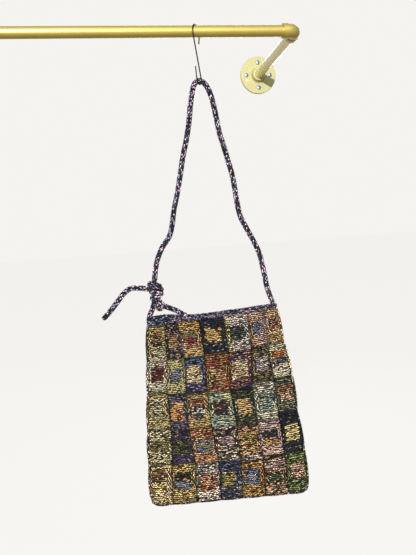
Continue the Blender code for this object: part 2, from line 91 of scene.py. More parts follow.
# Soft upright folds, in millimetres: side (1 front, -1 back), place at the mouth, place at its
# lower end, height of the lower end, depth, half width.
FOLDS = (
    (1, -107, -111, -690, 9, 17),
    (1, -78, -74, -650, 4, 11),
    (1, 96, 118, -800, 3, 16),
    (1, 10, -30, -900, -2.5, 34),
    (-1, 60, 52, -740, 4, 19),
    (-1, -12, -40, -820, 3, 20),
    (-1, -82, -88, -680, -4.5, 26),
)
PATCH_CROWN = 3.4 * MM
SIDE_SCALLOP = 2.5 * MM
FOOT_SCALLOP = 1.5 * MM
CORNER_LIFT = 5.5 * MM
CORNER_PULL = 3 * MM
SIDE_HALF_DEPTH = 3.4 * MM
MOUTH_SIDE_EXTRA = 2.6 * MM
BELLY_DEPTH = 12.5 * MM
MOUTH_BELLY_SHARE = 0.4
BELLY_FULL_BELOW = 0.28

# The band round the mouth and the join round the edge.
RIM_CLEARANCE = 0.2 * MM
RIM_END_REACH = 3.4 * MM
EDGE_CLEARANCE = 2.3 * MM

# Height of the rim's top edge above the mouth's straight line, in millimetres, at each upright
# seam: the front (1) and the back (-1), which shows above it on the left.
RIM_TOPS = {
    1: (11, 6, 2.5, 2.5, 4.6, 6, 7, 7),
    -1: (11, 12, 6, 3.2, 4.2, 5.5, 6.5, 7),
}

# The cords' routes in the bag's frame, in millimetres: across, depth, height.
STRAP_ROUTE = (
    (126.5, 0, -561.5), (114, 0, -521), (110, 0, -495), (106, 0, -470), (101, 0, -446),
    (91, 0, -421), (77, 0, -392), (66, 0, -367), (61, 0, -338), (58, 0, -309), (54, 0, -280),
    (47, 0, -250), (40, 0, -221), (33.5, 0, -196), (29.5, 0, -168), (25.5, 0, -142),
    (20.5, 0, -120), (12, 0, -101.8), (0, 0, -93.5), (-11, 0, -101.2), (-16.5, 0, -119),
    (-21.5, 0, -143), (-26.5, 0, -174), (-33.5, 0, -205), (-43, 0, -239), (-51, 0, -274),
    (-59.5, 0, -310), (-69.5, 0, -346), (-76, 1, -378), (-84, 2, -400), (-99, 2, -420),
    (-110.5, 1, -443), (-117, 1, -466), (-120.5, 1, -488), (-122, 0, -510), (-124, -2, -530),
    (-129, -3, -545), (-139.5, 0, -566.5),
)
TIE_ROUTE = (
    (-58, 1.6, -568), (-72, -0.8, -559.5), (-86, 3, -550.5), (-103, 8, -542), (-113, 8, -532),
    (-121, 7, -516), (-128, 7, -506), (-138, 8, -502.5), (-153, 9, -500), (-170, 10, -499.5),
    (-184, 10, -508), (-196, 9, -521), (-208, 8, -535), (-220, 8, -548), (-233, 8, -560),
)
KNOT_WRAPS = (
    # centre across, depth, height; lean in degrees
    (-121, 2, -497.5, 20),
    (-118.5, 3, -508.5, -8),
    (-118.5, 3, -519.5, -26),
)
WRAP_RADIUS = 9.8 * MM
WRAP_CORD = 6.6 * MM
KNOT_BALL = (-114, 8, -542)
KNOT_BALL_RADIUS = 10 * MM
KNOT_BALL_AXIS = (0.35, -0.2, -0.91)
KNOT_BALL_MIX = "mauve umber charcoal navy"
KNOT_STEPS = 24

# The camera, at the photograph's place and angle.
CAMERA_PLACE = (-368.24 * MM, -1275.33 * MM, -377.89 * MM)
CAMERA_YAW = math.radians(8.862)
CAMERA_PITCH = math.radians(-6.397)
CAMERA_ROLL = math.radians(3.928)
CAMERA_LENS = 31.135

# The lights: what they aim at, how the key light travels, and the room's own light, which comes
# from above and the front. Each row gives a range of how squarely a direction faces the room's
# light, the way behind the bag, or up, and what it becomes: the even light's strength, the bright
# patch on top of it, the light that comes back from behind, and how neutral or warm it all is.
LIGHT_AIM = (-0.25, -0.3, -0.5)
KEY_TRAVEL = (0.308, 0.914, -0.264)
KEY_DISTANCE = 8.0
KEY_SIZE = 0.3
ROOM_LIGHT_FROM = (0.0, -0.88, 0.475)
ROOM_EVEN = (0.0, 0.8, 0.32, 0.58)
ROOM_BRIGHT = (0.82, 1.0, 0.0, 0.8)
ROOM_BEHIND = (0.6, 0.9, 0.0, 0.7)
ROOM_NEUTRAL = (-0.75, -0.25, 0.0, 1.0)
FILL_PLACE = (0.9, 2.6, 0.9)
FILL_SIZE = 2.5
FLOOR_DULL = 0.06
FLOOR_GLOW = 0.95

# The lacquer on the metal, and the bend over which an edge stays sharp.
COAT_ROUGHNESS = 0.32
COAT_IOR = 1.9
SHARP_ANGLE = math.radians(35)

# The chart of the patches, a row of seven for each row of the bag. A patch is its frame's yarns,
# then areas laid on it: left, right, top and foot as shares of the patch, and their yarns.
CHART = (
    (
        ("straw olive", (.25, .78, .16, .38, "tan umber"), (.25, .78, .38, .59, "umber charcoal tan"),
         (.2, .85, .62, .84, "olive cream sage"), (0, 1, .86, 1, "blush cream straw")),
        ("charcoal black mauve black", (.2, .8, .30, .69, "umber tan ochre olive")),
        ("straw ochre tan", (.1, .83, .32, .45, "grey olive"), (.1, .83, .45, .63, "brick brick grey"),
         (.1, .83, .63, .75, "brick cream")),
        ("black navy charcoal", (.16, .84, .28, .66, "tan gold straw")),
        ("blush cream lilac", (0, .16, .08, .92, "wheat lime olive"), (.86, 1, .08, .92, "aqua lilac"),
         (.17, .80, .33, .69, "forest navy moss")),
        ("lilac blush tan", (0, .2, .1, 1, "rust tan"), (.82, 1, .1, 1, "rust lilac"),
         (.22, .78, .30, .62, "lilac teal grey")),
        ("tan cream ochre", (.2, .85, .23, .61, "rust navy tan"), (0, 1, .68, 1, "tan umber straw")),
    ),
    (
        ("sage blush cream", (.2, .8, .14, .61, "brick maroon black"), (0, 1, .86, 1, "olive sage")),
        ("straw wheat lime", (.16, .84, .27, .66, "teal lilac grey")),
        ("teal navy slate", (0, 1, .74, 1, "navy purple"), (.13, .76, .23, .70, "blush wheat tan")),
        ("brick lime rust", (.22, .82, .32, .75, "umber straw rust")),
        ("orange purple navy", (0, .16, .2, .8, "orange umber"), (.84, 1, .2, .8, "orange purple"),
         (.15, .83, .21, .70, "blush tan cream khaki")),
        ("black olive umber", (.19, .81, .27, .70, "lilac grey blush")),
        ("cream sage straw", (.08, .95, .21, .40, "rust orange"), (.08, .95, .42, .61, "navy grey"),
         (0, 1, .64, .88, "cream blush sage")),
    ),
    (
        ("straw olive khaki", (.15, .70, .16, .65, "black cream olive")),
        ("purple navy grey", (.11, .80, .22, .72, "orange gold peach")),
        ("straw olive tan", (.16, .79, .18, .37, "rust umber"), (.16, .79, .37, .71, "navy cream black")),
        ("aqua wheat slate sage lime", (.18, .76, .24, .64, "maroon charcoal maroon")),
        ("forest charcoal moss black", (.16, .80, .27, .69, "tan khaki peach gold")),
        ("sage grey cream", (.19, .84, .28, .72, "slate lime sage")),
        ("navy forest olive", (0, 1, .21, .42, "umber olive rust"), (.2, .92, .43, .63, "blush peach"),
         (0, 1, .65, .85, "lime olive navy"), (0, 1, .86, 1, "navy charcoal")),
    ),
    (
        ("cream black wheat", (.1, .9, .29, .61, "olive umber moss")),
        ("purple navy umber", (.15, .85, .24, .68, "moss black moss")),
        ("peach tan rust", (.17, .9, .32, .70, "grey olive slate")),
        ("cream umber black", (.17, .8, .25, .62, "mauve blush charcoal")),
        ("peach black tan", (.15, .82, .23, .57, "umber olive gold"), (0, 1, .82, 1, "navy blush")),
        ("peach lilac blush", (.15, .79, .26, .49, "black charcoal"), (.15, .79, .50, .69, "gold ochre")),
        ("black navy black", (.19, .92, .26, .69, "wheat khaki straw")),
    ),
    (
        ("straw olive blush", (.12, .72, .1, .42, "rust olive umber"), (.12, .72, .45, .71, "gold wheat")),
        ("straw ochre olive", (.1, .78, .2, .40, "black umber black"), (.1, .78, .43, .61, "slate grey")),
        ("navy grey cream", (.14, .86, .26, .71, "rust umber peach"), (0, 1, .75, 1, "blush cream black")),
        ("navy slate charcoal", (.10, .73, .27, .66, "olive gold moss")),
        ("gold ochre umber", (.14, .79, .23, .63, "slate grey navy")),
        ("peach black umber", (0, 1, .1, .34, "mauve blush umber"), (.22, .80, .42, .67, "forest moss")),
        ("forest lime moss", (.24, .90, .27, .64, "rust blush tan")),
    ),
)
BACK_ROW_SHIFT = 2
BACK_COLUMN_STEP = 3

NAVY_MIX = "navy charcoal navy slate mauve"
RIM_LEFT_MIX = "teal navy slate charcoal navy"
FOOT_MIX = "navy charcoal navy mauve charcoal"

# Each side's share of the join that runs down the left side, along the foot and up the right.
SIDE_SHARE = 0.335

# A strand of yarn as rings of four points and two tips. Rows of each table: share of the length,
# share of the width, share of the height; then the ring's points: side, share of the height.
STRAND_RINGS = ((0.13, 0.84, 0.62), (0.5, 1.0, 1.0), (0.87, 0.86, 0.64))
RING_POINTS = ((-1, -0.15), (-0.52, 0.86), (0.52, 0.86), (1, -0.15))
RING_SIDES = len(RING_POINTS)

# The two strands of a stitch, in cells from its middle: start and end (across, down), half width.
V_STITCH = ((-0.06, 0.57, -0.3, -0.5, 0.185), (0.06, 0.57, 0.3, -0.5, 0.185))

# How bright a strand's colour is painted at its flanks, which lie deep in the cloth, and at its tips,
# against 1 at its crest: painted shade where the strand sinks into the cloth.
FLANK_PAINTED_SHADE = 0.08
TIP_PAINTED_SHADE = 0.12

# Two yarns are worked together, one on each leg of a stitch. The leg towards the top or the left is
# painted brighter, as painted light from the upper left, and the other leg darker, as painted shade. In
# some stitches the two yarns change places, and the painted light and shade go with them.
UPPER_LEG_PAINTED_LIGHT = 1.85
LOWER_LEG_PAINTED_SHADE = 0.12
CROSSED_SHARE = 0.22

# Shares of the stitches in which a dark ply or a pale ply lies uppermost, how far each changes
# the stitch's colour, and the share of the stitches that comes from the common scrap yarns.
DARK_SHARE = 0.14
DARK_TONE = 0.2
PALE_SHARE = 0.1
PALE_BLEND = 0.4
SCRAP_SHARE = 0.05
SCRAP_MIX = "umber olive charcoal black tan straw grey khaki"
SAME_YARN_CHANCE = 0.1

# How bright the yarns are on the patches and in a stitch's second yarn; then the painted shade that
# darkens the cloth and the cords' cores, which show only in the gaps between stitches. Then how full the
# patches' strands are.
PATCH_TONE = 0.8
FLECK_TONE = 0.8
CLOTH_PAINTED_SHADE = 0.1
CORE_PAINTED_SHADE = 0.12
PATCH_FULLNESS = 1.38

# Random spreads: of a stitch's tone, of a leg's values in cells with the share of it that each
# value gets, and of a strand's height and brightness. Then how high a strand's tips lie.
TONE_SPREAD = 0.13
LEG_SPREAD = 0.05
LEG_SPREAD_SHARES = (1, 1, 1, 1, 0.3)
HEIGHT_SPREAD = 0.08
GLOW_SPREAD = 0.12
TIP_RISE = 0.12

# Rows of stitches are staggered, in cells. The edges of the chart's areas wander, in shares of
# a patch. Each face has its own name and seeds: 1 is the front and -1 the back.
STAGGER = 0.2
AREA_WANDER = 0.012
FACE_NAMES = {1: "front", -1: "back"}
PATCH_SEEDS = {1: 1, -1: 2}
CLOTH_SEEDS = {1: 7, -1: 8}
CLOTH_OUTER_SHARE = 0.35

# The cords: how far their strands stand out, the stitches round them, and their plain cores,
# with the least share of the radius that a core keeps and how blunt a round end's tip is.
STRAP_STRAND = 1.6 * MM
TIE_STRAND = 1.4 * MM
RIM_STRAND = 1.5 * MM
EDGE_STRAND = 1.3 * MM
CORD_AROUND = 6
BALL_AROUND = 9
RIM_AROUND = 8
EDGE_AROUND = 4
BALL_PITCH = 3.4 * MM
CORE_SIDES = 10
CORE_STEP = 3.2 * MM
RIM_CORE_STEP = 4 * MM
CORE_SHRINK = 0.2 * MM
CORE_LEAST = 0.05
TIP_LEAST = 0.003
RIM_EXTRA_HEIGHT = 1.2 * MM
RIM_TEAL_END = -95 * MM
CORD_FLECKS = {"pale": "orchid", "pale_share": 0.3, "tone": 1.3, "dark_share": 0.3,
               "scrap_share": 0.0, "fullness": 1.4}
RIM_FLECKS = {**CORD_FLECKS, "pale_share": 0.18, "tone": 1.15}

# The seams between patches lie deeper than the patches: how dark the stitches at them are painted, as
# painted shade in the groove, how deep they lie, and how wide.
SEAM_PAINTED_SHADE = 0.1
SEAM_DROP = 1.5 * MM
SEAM_REACH = 0.085
SEAM_REACH_DOWN = 0.052


def linear(red, green, blue):
    """A colour given as it shows on screen, 0 to 255, as the scene's linear colour."""
    shares = (value / 255 for value in (red, green, blue))
    return tuple(s / 12.92 if s <= 0.04045 else ((s + 0.055) / 1.055) ** 2.4 for s in shares)


def colour_property(name, description, red, green, blue):
    return FloatVectorProperty(name=name, description=description, subtype="COLOR", size=3,
                               min=0.0, max=1.0, default=linear(red, green, blue))


def yarn_colour(name, red, green, blue):
    return colour_property(name, f"Colour of the {name.lower()} yarn", red, green, blue)


def size_property(name, description, default):
    return FloatProperty(name=name, description=description, default=default, min=0.0,
                         unit="LENGTH")


class BagYarns(bpy.types.PropertyGroup):
    """The scrap yarns' colours."""

    straw: yarn_colour("Straw", 196, 172, 112)
    wheat: yarn_colour("Wheat", 214, 196, 132)
    cream: yarn_colour("Cream", 216, 204, 178)
    blush: yarn_colour("Blush", 205, 180, 165)
    peach: yarn_colour("Peach", 200, 155, 115)
    tan: yarn_colour("Tan", 175, 135, 85)
    khaki: yarn_colour("Khaki", 176, 160, 112)
    gold: yarn_colour("Gold", 184, 146, 78)
    ochre: yarn_colour("Ochre", 170, 122, 58)
    orange: yarn_colour("Orange", 190, 122, 62)
    rust: yarn_colour("Rust", 146, 80, 50)
    brick: yarn_colour("Brick", 142, 44, 38)
    maroon: yarn_colour("Maroon", 70, 35, 35)
    umber: yarn_colour("Umber", 90, 65, 45)
    olive: yarn_colour("Olive", 125, 115, 65)
    moss: yarn_colour("Moss", 85, 90, 45)
    lime: yarn_colour("Lime", 126, 138, 78)
    forest: yarn_colour("Forest", 45, 60, 45)
    sage: yarn_colour("Sage", 165, 170, 140)
    aqua: yarn_colour("Aqua", 160, 185, 170)
    teal: yarn_colour("Teal", 65, 95, 105)
    slate: yarn_colour("Slate", 95, 105, 135)
    navy: yarn_colour("Navy", 35, 38, 65)
    purple: yarn_colour("Purple", 62, 48, 88)
    lilac: yarn_colour("Lilac", 150, 130, 150)
    mauve: yarn_colour("Mauve", 160, 125, 130)
    orchid: yarn_colour("Orchid", 222, 202, 216)
    charcoal: yarn_colour("Charcoal", 45, 42, 45)
    black: yarn_colour("Black", 22, 20, 24)
    grey: yarn_colour("Grey", 120, 115, 110)


class StitchSizes(bpy.types.PropertyGroup):
    """How the bag is crocheted."""

    across: IntProperty(name="Stitches across", description="Stitches across one patch",
                        default=10, min=4, max=16)
    down: IntProperty(name="Rows down", description="Rows of stitches down one patch",
                      default=19, min=6, max=24)
    strand: size_property("Strand height", "How far a strand stands out of the cloth", 2.3 * MM)
    lift: size_property("Strand lift", "Distance of a strand's ends from the cloth's middle",
                        0.7 * MM)
    cloth: size_property("Cloth", "Thickness of the cloth under the stitches", 2.0 * MM)


class CordSizes(bpy.types.PropertyGroup):
    """The strap, the tie and the crocheted edges."""

    strap: size_property("Strap", "Diameter of the cord strap", 12.2 * MM)
    tie: size_property("Tie", "Diameter of the tie", 12 * MM)
    edge: size_property("Edge", "Diameter of the join round the sides and foot", 6.6 * MM)
    rim: size_property("Rim", "Thickness of the band round the mouth", 5 * MM)
    pitch: size_property("Stitch length", "Length of one stitch along a cord", 3.8 * MM)


class MetalFinish(bpy.types.PropertyGroup):
    """The rail, its bracket, the screws and the hook."""

    brass: colour_property("Brass", "Colour of the rail and its bracket", 190, 172, 84)
    # The arm's colour is its brass, painted paler than the rail's as a painted reflection of the bright
    # room.
    arm: colour_property("Arm", "Colour of the bracket's arm", 214, 206, 146)
    flange: colour_property("Flange", "Colour of the wall flange", 172, 167, 118)
    zinc: colour_property("Zinc", "Colour of the screws", 134, 150, 174)
    steel: colour_property("Steel", "Colour of the S-hook", 40, 43, 43)
    roughness: FloatProperty(name="Brass roughness", description="Roughness of the brass",
                             default=0.5, min=0.05, max=1.0, subtype="FACTOR")


class StageSizes(bpy.types.PropertyGroup):
    """The floor, the lights and the pale surroundings."""

    drop: size_property("Floor", "How far the floor lies below the rail", 1.9)
    width: size_property("Floor width", "Width of the floor", 60.0)
    pale: colour_property("Surroundings", "Colour of the surroundings", 244, 243, 240)
    key: FloatProperty(name="Key light", description="Power of the key light in watts",
                       default=1040.0, min=0.0)
    warm: colour_property("Warm light", "Colour of the light from below", 240, 214, 172)
    fill: FloatProperty(name="Fill light", description="Power of the light behind, in watts",
                        default=75.0, min=0.0)


def bag_points(across, depth, height):
    """Points of the bag's frame, in metres, as world points."""
    turn = np.array(Matrix.Rotation(-BAG_TURN, 3, "Z"))
    local = np.stack(np.broadcast_arrays(across, -np.asarray(depth), height), axis=-1)
    return local @ turn.T + np.array((HOOK_X, -WALL_DISTANCE, 0.0))


def seam_heights(column, part, stepped):
    """Height of the six seam lines in a column, in millimetres, with sharp or eased steps."""
    share = (column + part) / COLUMNS
    straight = (SEAM_LINES[:, 0] * (1 - share)[..., None] + SEAM_LINES[:, 1] * share[..., None])
    own_steps = SEAM_STEPS[:, column].T.reshape(straight.shape)
    if stepped:
        return straight + own_steps
    before = SEAM_STEPS[:, np.maximum(column - 1, 0)].T.reshape(straight.shape)
    after = SEAM_STEPS[:, np.minimum(column + 1, COLUMNS - 1)].T.reshape(straight.shape)
    from_left = (np.clip(1 - part / STEP_RUN, 0, 1) / 2)[..., None]
    from_right = (np.clip(1 - (1 - part) / STEP_RUN, 0, 1) / 2)[..., None]
    return straight + before * from_left + after * from_right \
        + own_steps * (1 - from_left - from_right)


def fold_depth(face, across, height):
    """How far the folds draw the cloth in at places on one face of the bag."""
    total = np.zeros_like(across)
    mouth = SEAM_LINES[0, 0] * MM
    for side, top, foot, foot_height, depth, half_width in FOLDS:
        if side == face:
            fall = (mouth - height) / (mouth - foot_height * MM)
            place = (top + (foot - top) * fall) * MM
            strength = np.maximum(0.0, 1 - np.maximum(0.0, fall) ** 2)
            total += depth * MM * strength * np.exp(-((across - place) / (half_width * MM)) ** 2)
    return total


def bag_outline(column, part, row_place):
    """Across and height of places on the patchwork."""
    row = np.clip(row_place.astype(int), 0, ROWS - 1)
    down = row_place - row
    column_place = column + part
    edges = (SEAM_EDGES[row, column] * (1 - part) + SEAM_EDGES[row, column + 1] * part,
             SEAM_EDGES[row + 1, column] * (1 - part) + SEAM_EDGES[row + 1, column + 1] * part)
    heights = seam_heights(column, part, stepped=False)
    upper = np.take_along_axis(heights, row[..., None], -1)[..., 0]
    lower = np.take_along_axis(heights, row[..., None] + 1, -1)[..., 0]
    across = (edges[0] * (1 - down) + edges[1] * down) * MM
    height = (upper * (1 - down) + lower * down) * MM
    side = np.clip(2 * column_place / COLUMNS - 1, -1, 1)
    across = across + (SIDE_SCALLOP * np.sin(math.pi * np.clip(down, 0, 1)) * np.abs(side) ** 5
                       * np.sign(side))
    fall = np.clip(row_place / ROWS, 0, 1)
    height = height - FOOT_SCALLOP * fall ** 12 * np.sin(math.pi * np.clip(part, 0, 1))
    corner = np.abs(side) ** 24 * fall ** 24
    return across - np.sign(side) * CORNER_PULL * corner, height + CORNER_LIFT * corner


def half_depth(column, part, row_place, down, face):
    """Distance from the bag's middle plane to the middle of one panel's cloth."""
    across, height = bag_outline(column, part, row_place)
    side = np.abs(2 * (column + part) / COLUMNS - 1)
    fall = np.maximum(0.0, row_place / ROWS)
    open_share = np.minimum(1.0, fall / BELLY_FULL_BELOW)
    open_share = open_share * open_share * (3 - 2 * open_share)
    fullness = MOUTH_BELLY_SHARE + (1 - MOUTH_BELLY_SHARE) * open_share
    belly = BELLY_DEPTH * fullness * (1 - side ** 3.2) * (1 - fall ** 5)
    edge = SIDE_HALF_DEPTH + MOUTH_SIDE_EXTRA * np.maximum(0.0, 1 - 4 * fall)
    crown = (1 - (2 * part - 1) ** 4) * (1 - (2 * down - 1) ** 4)
    inside = (1 - side ** 8) * (1 - fall ** 12)
    fold = fold_depth(face, across, height) * (1 - side ** 4)
    return edge + belly + (PATCH_CROWN * crown - fold) * inside


def cloth_points(column, row, part, down, face):
    """World points of the cloth's middle, at shares across and down a patch."""
    own = seam_heights(column, part, stepped=True)
    height = own[..., row] * (1 - down) + own[..., row + 1] * down
    eased = seam_heights(column, part, stepped=False)
    line = np.clip((eased > height[..., None]).sum(-1) - 1, 0, ROWS - 1)
    upper = np.take_along_axis(eased, line[..., None], -1)[..., 0]
    lower = np.take_along_axis(eased, line[..., None] + 1, -1)[..., 0]
    row_place = line + (upper - height) / (upper - lower)
    on_seam = (part == 0) | (part == 1)
    row_place = np.where(on_seam, row + down, row_place)
    across, height = bag_outline(column, part, row_place)
    depth = half_depth(column, part, row_place, down, face) * face
    return bag_points(across, depth, height)


def raised_points(column, row, part, down, face, lift):
    """World points a given height above the cloth's middle, on its outer side."""
    reach = 0.02
    middle = cloth_points(column, row, part, down, face)
    along = (cloth_points(column, row, part + reach, down, face)
             - cloth_points(column, row, part - reach, down, face))
    fall = (cloth_points(column, row, part, down + reach, face)
            - cloth_points(column, row, part, down - reach, face))
    outward = np.cross(fall, along) * face
    outward /= np.linalg.norm(outward, axis=-1, keepdims=True)
    return middle + outward * lift[..., None]


def even_line(points, spacing):
    """Points at an even spacing along a smooth curve through the given points."""
    padded = [points[0] * 2 - points[1], *points, points[-1] * 2 - points[-2]]
    pieces = 12
    fine = []
    for a, b, c, d in zip(padded, padded[1:], padded[2:], padded[3:]):
        for step in range(pieces):
            t = step / pieces
            fine.append(0.5 * (2 * b + (c - a) * t + (2 * a - 5 * b + 4 * c - d) * t * t
                               + (3 * b - a - 3 * c + d) * t ** 3))
    fine.append(points[-1])
    return spaced(np.array(fine), spacing)


def distances(line):
    """How far along a line each of its points lies."""
    return np.concatenate(((0.0,), np.cumsum(np.linalg.norm(np.diff(line, axis=0), axis=1))))


def read_along(run, rows, places):
    """Rows of three values, given at the distances of run, read at other places along it."""
    return np.stack([np.interp(places, run, rows[:, axis]) for axis in range(3)], axis=-1)


def spaced(line, spacing):
    """The same line with its points at an even spacing."""
    run = distances(line)
    return read_along(run, line, np.linspace(0, run[-1], max(3, round(run[-1] / spacing) + 1)))


def route_line(route, spacing):
    """A cord's route as evenly spaced world points."""
    return even_line(list(bag_points(*(np.array(route, float) * MM).T)), spacing)


def line_length(line):
    return float(np.linalg.norm(np.diff(line, axis=0), axis=1).sum())


def new_object(name, data):
    """A new object in the scene."""
    item = bpy.data.objects.new(name, data)
    bpy.context.scene.collection.objects.link(item)
    return item


def paint_points(mesh, title, colours):
    """Stores one colour for each of a mesh's points."""
    layer = mesh.color_attributes.new(title, "FLOAT_COLOR", "POINT")
    rgba = np.concatenate((colours, np.ones((len(colours), 1))), axis=1)
    layer.data.foreach_set("color", rgba.astype(np.float32).ravel())


class CordSurface:
    """The surface round a line, which turns unrolled places into world points."""

    def __init__(self, line, half_width, half_height, up=None):
        self.line = line
        self.run = distances(line)
        self.length = self.run[-1]
        self.half_width = half_width
        self.half_height = half_height
        tangent = np.gradient(line, axis=0)
        tangent /= np.linalg.norm(tangent, axis=1, keepdims=True)
        first = np.array(up if up is not None else (0.0, -1.0, 0.0))
        ups = []
        for direction in tangent:
            level = first - direction * (first @ direction)
            level /= np.linalg.norm(level)
            ups.append(level)
            if up is None:
                first = level
        self.up = np.array(ups)
        self.side = np.cross(tangent, self.up)

    def at(self, rows, values):
        return read_along(self.run, rows, values)

    def points(self, run, angle, lift):
        """World points at a distance along the line and an angle round it."""
        up = self.at(self.up, run)
        side = self.at(self.side, run)
        width = self.half_width(run) + lift
        height = self.half_height(run) + lift
        beyond = (run - np.clip(run, 0, self.length))[..., None]
        ends = self.at(np.cross(self.side, self.up), run) * -beyond
        return (self.at(self.line, run) + ends + side * (np.sin(angle) * width)[..., None]
                + up * (np.cos(angle) * height)[..., None])


class YarnWork:
    """Gathers the strands and cores of one piece, and makes its mesh."""

    def __init__(self, yarns, seed, pale="cream", pale_share=PALE_SHARE, tone=PATCH_TONE,
                 dark_share=DARK_SHARE, scrap_share=SCRAP_SHARE,
                 fullness=PATCH_FULLNESS):
        self.fullness = fullness
        self.scrap_share = scrap_share
        self.tone = tone
        self.dark_share = dark_share
        self.pale = pale
        self.pale_share = pale_share
        self.yarns = {name: np.array(getattr(yarns, name)) for name in BagYarns.__annotations__}
        self.random = np.random.default_rng(seed)
        self.points = []
        self.hidden = []
        self.shown = []
        self.colours = []
        self.flecks = []
        self.plies = []
        self.spots = []
        self.count = 0

    def pick(self, mix, before):
        """A stitch's yarn from a mix, often the same as the stitch before it."""
        if self.random.random() < self.scrap_share:
            mix = SCRAP_MIX
        names = mix.split()
        if before in names and self.random.random() < SAME_YARN_CHANCE:
            return before
        return names[self.random.integers(len(names))]

    def dye(self, mixes):
        """Colours and fleck colours of stitches, one mix for each."""
        chosen = []
        fleck = []
        before = ""
        for mix in mixes:
            before = self.pick(mix, before)
            chosen.append(self.yarns[before])
            fleck.append(self.yarns[self.pick(mix, "")])
        chosen = np.array(chosen)
        fleck = np.array(fleck)
        tone = self.random.random((len(chosen), 1))
        shade = self.tone * self.random.normal(1.0, TONE_SPREAD, (len(chosen), 1))
        shade = np.where(tone < self.dark_share, shade * DARK_TONE, shade)
        pale = np.where(tone > 1 - self.pale_share, PALE_BLEND, 0.0)
        chosen = chosen * (1 - pale) + self.yarns[self.pale] * pale
        return np.clip(chosen * shade, 0, 1), np.clip(fleck * shade * FLECK_TONE, 0, 1)

    def add_strands(self, cells, turned, wrap, mixes, strand, spot, painted_shade_at):
        """V stitches at cells (across, down), upright (0) or lying with the row (1, -1)."""
        colours, flecks = self.dye(mixes)
        crossed = self.random.random(len(cells)) < CROSSED_SHARE
        for leg in V_STITCH:
            rule = self.random.normal(0, LEG_SPREAD, (len(cells), 5)) * LEG_SPREAD_SHARES + leg
            start = rule[:, 0:2]
            end = rule[:, 2:4]
            start = np.where(turned[:, None] != 0, start[:, ::-1] * turned[:, None], start)
            end = np.where(turned[:, None] != 0, end[:, ::-1] * turned[:, None], end)
            # upper marks the leg towards the top or the left, which gets the painted light.
            upper = ((start + end).sum(axis=1) < 0) != crossed
            upper = upper[:, None, None]
            run = end - start
            side = np.stack((-run[:, 1], run[:, 0]), axis=1)
            side /= np.linalg.norm(side, axis=1, keepdims=True)
            rows = []
            ply = []
            painted_light_and_tone = []
            half_width = rule[:, 4:5] * self.fullness
            height = strand * self.random.normal(1.0, HEIGHT_SPREAD, (len(rule), 1))
            for share, wide, tall in STRAND_RINGS:
                middle = cells + start + run * share
                for number, (across, rise) in enumerate(RING_POINTS):
                    flat = middle + side * half_width * wide * across
                    rows.append(np.concatenate((flat, height * tall * rise), axis=1))
                    ply.append((share, number / (RING_SIDES - 1)))
                    # Painted shade: the flank points and the tips are painted darker than the crest.
                    painted_light_and_tone.append(FLANK_PAINTED_SHADE if rise < 0 else 1.0)
            for share in (0.0, 1.0):
                flat = cells + start + run * share
                rows.append(np.concatenate((flat, height * TIP_RISE), axis=1))
                ply.append((share, 0.5))
                painted_light_and_tone.append(TIP_PAINTED_SHADE)
            flat = np.stack(rows, axis=1)
            world = wrap(flat)
            own_glow = self.random.normal(1, GLOW_SPREAD, (len(rule), 1, 1))
            painted_light_and_tone = np.array(painted_light_and_tone)[None, :, None] * own_glow
            # Painted light and shade: the flanks, tips and seams are painted darker, and the leg towards
            # the top or left is painted brighter than the other.
            painted_light_and_tone = painted_light_and_tone * painted_shade_at(flat) * np.where(upper, UPPER_LEG_PAINTED_LIGHT, LOWER_LEG_PAINTED_SHADE)
            own = np.where(upper, colours[:, None], flecks[:, None])
            other = np.where(upper, flecks[:, None], colours[:, None])
            self.add_strand_faces(world, spot(flat), ply, own * painted_light_and_tone, other * painted_light_and_tone)

    def add_strand_faces(self, world, spots, ply, colours, flecks):
        number, size = world.shape[:2]
        base = self.count + np.arange(number)[:, None] * size
        rings = len(STRAND_RINGS)
        first_tip = rings * RING_SIDES
        for ring in range(rings - 1):
            for side in range(RING_SIDES):
                after = (side + 1) % RING_SIDES
                face = (ring * RING_SIDES + side, ring * RING_SIDES + after,
                        (ring + 1) * RING_SIDES + after, (ring + 1) * RING_SIDES + side)
                self.keep_faces(base + np.array(face), under=side == RING_SIDES - 1)
        last = (rings - 1) * RING_SIDES
        for side in range(RING_SIDES):
            after = (side + 1) % RING_SIDES
            under = side == RING_SIDES - 1
            self.keep_faces(base + np.array((after, side, first_tip)), under)
            self.keep_faces(base + np.array((last + side, last + after, first_tip + 1)), under)
        self.points.append(world.reshape(-1, 3))
        self.spots.append(spots.reshape(-1, 2))
        self.plies.append(np.tile(np.array(ply), (number, 1)))
        self.colours.append(colours.reshape(-1, 3))
        self.flecks.append(flecks.reshape(-1, 3))
        self.count += number * size

    def keep_faces(self, faces, under):
        (self.hidden if under else self.shown).append(faces)

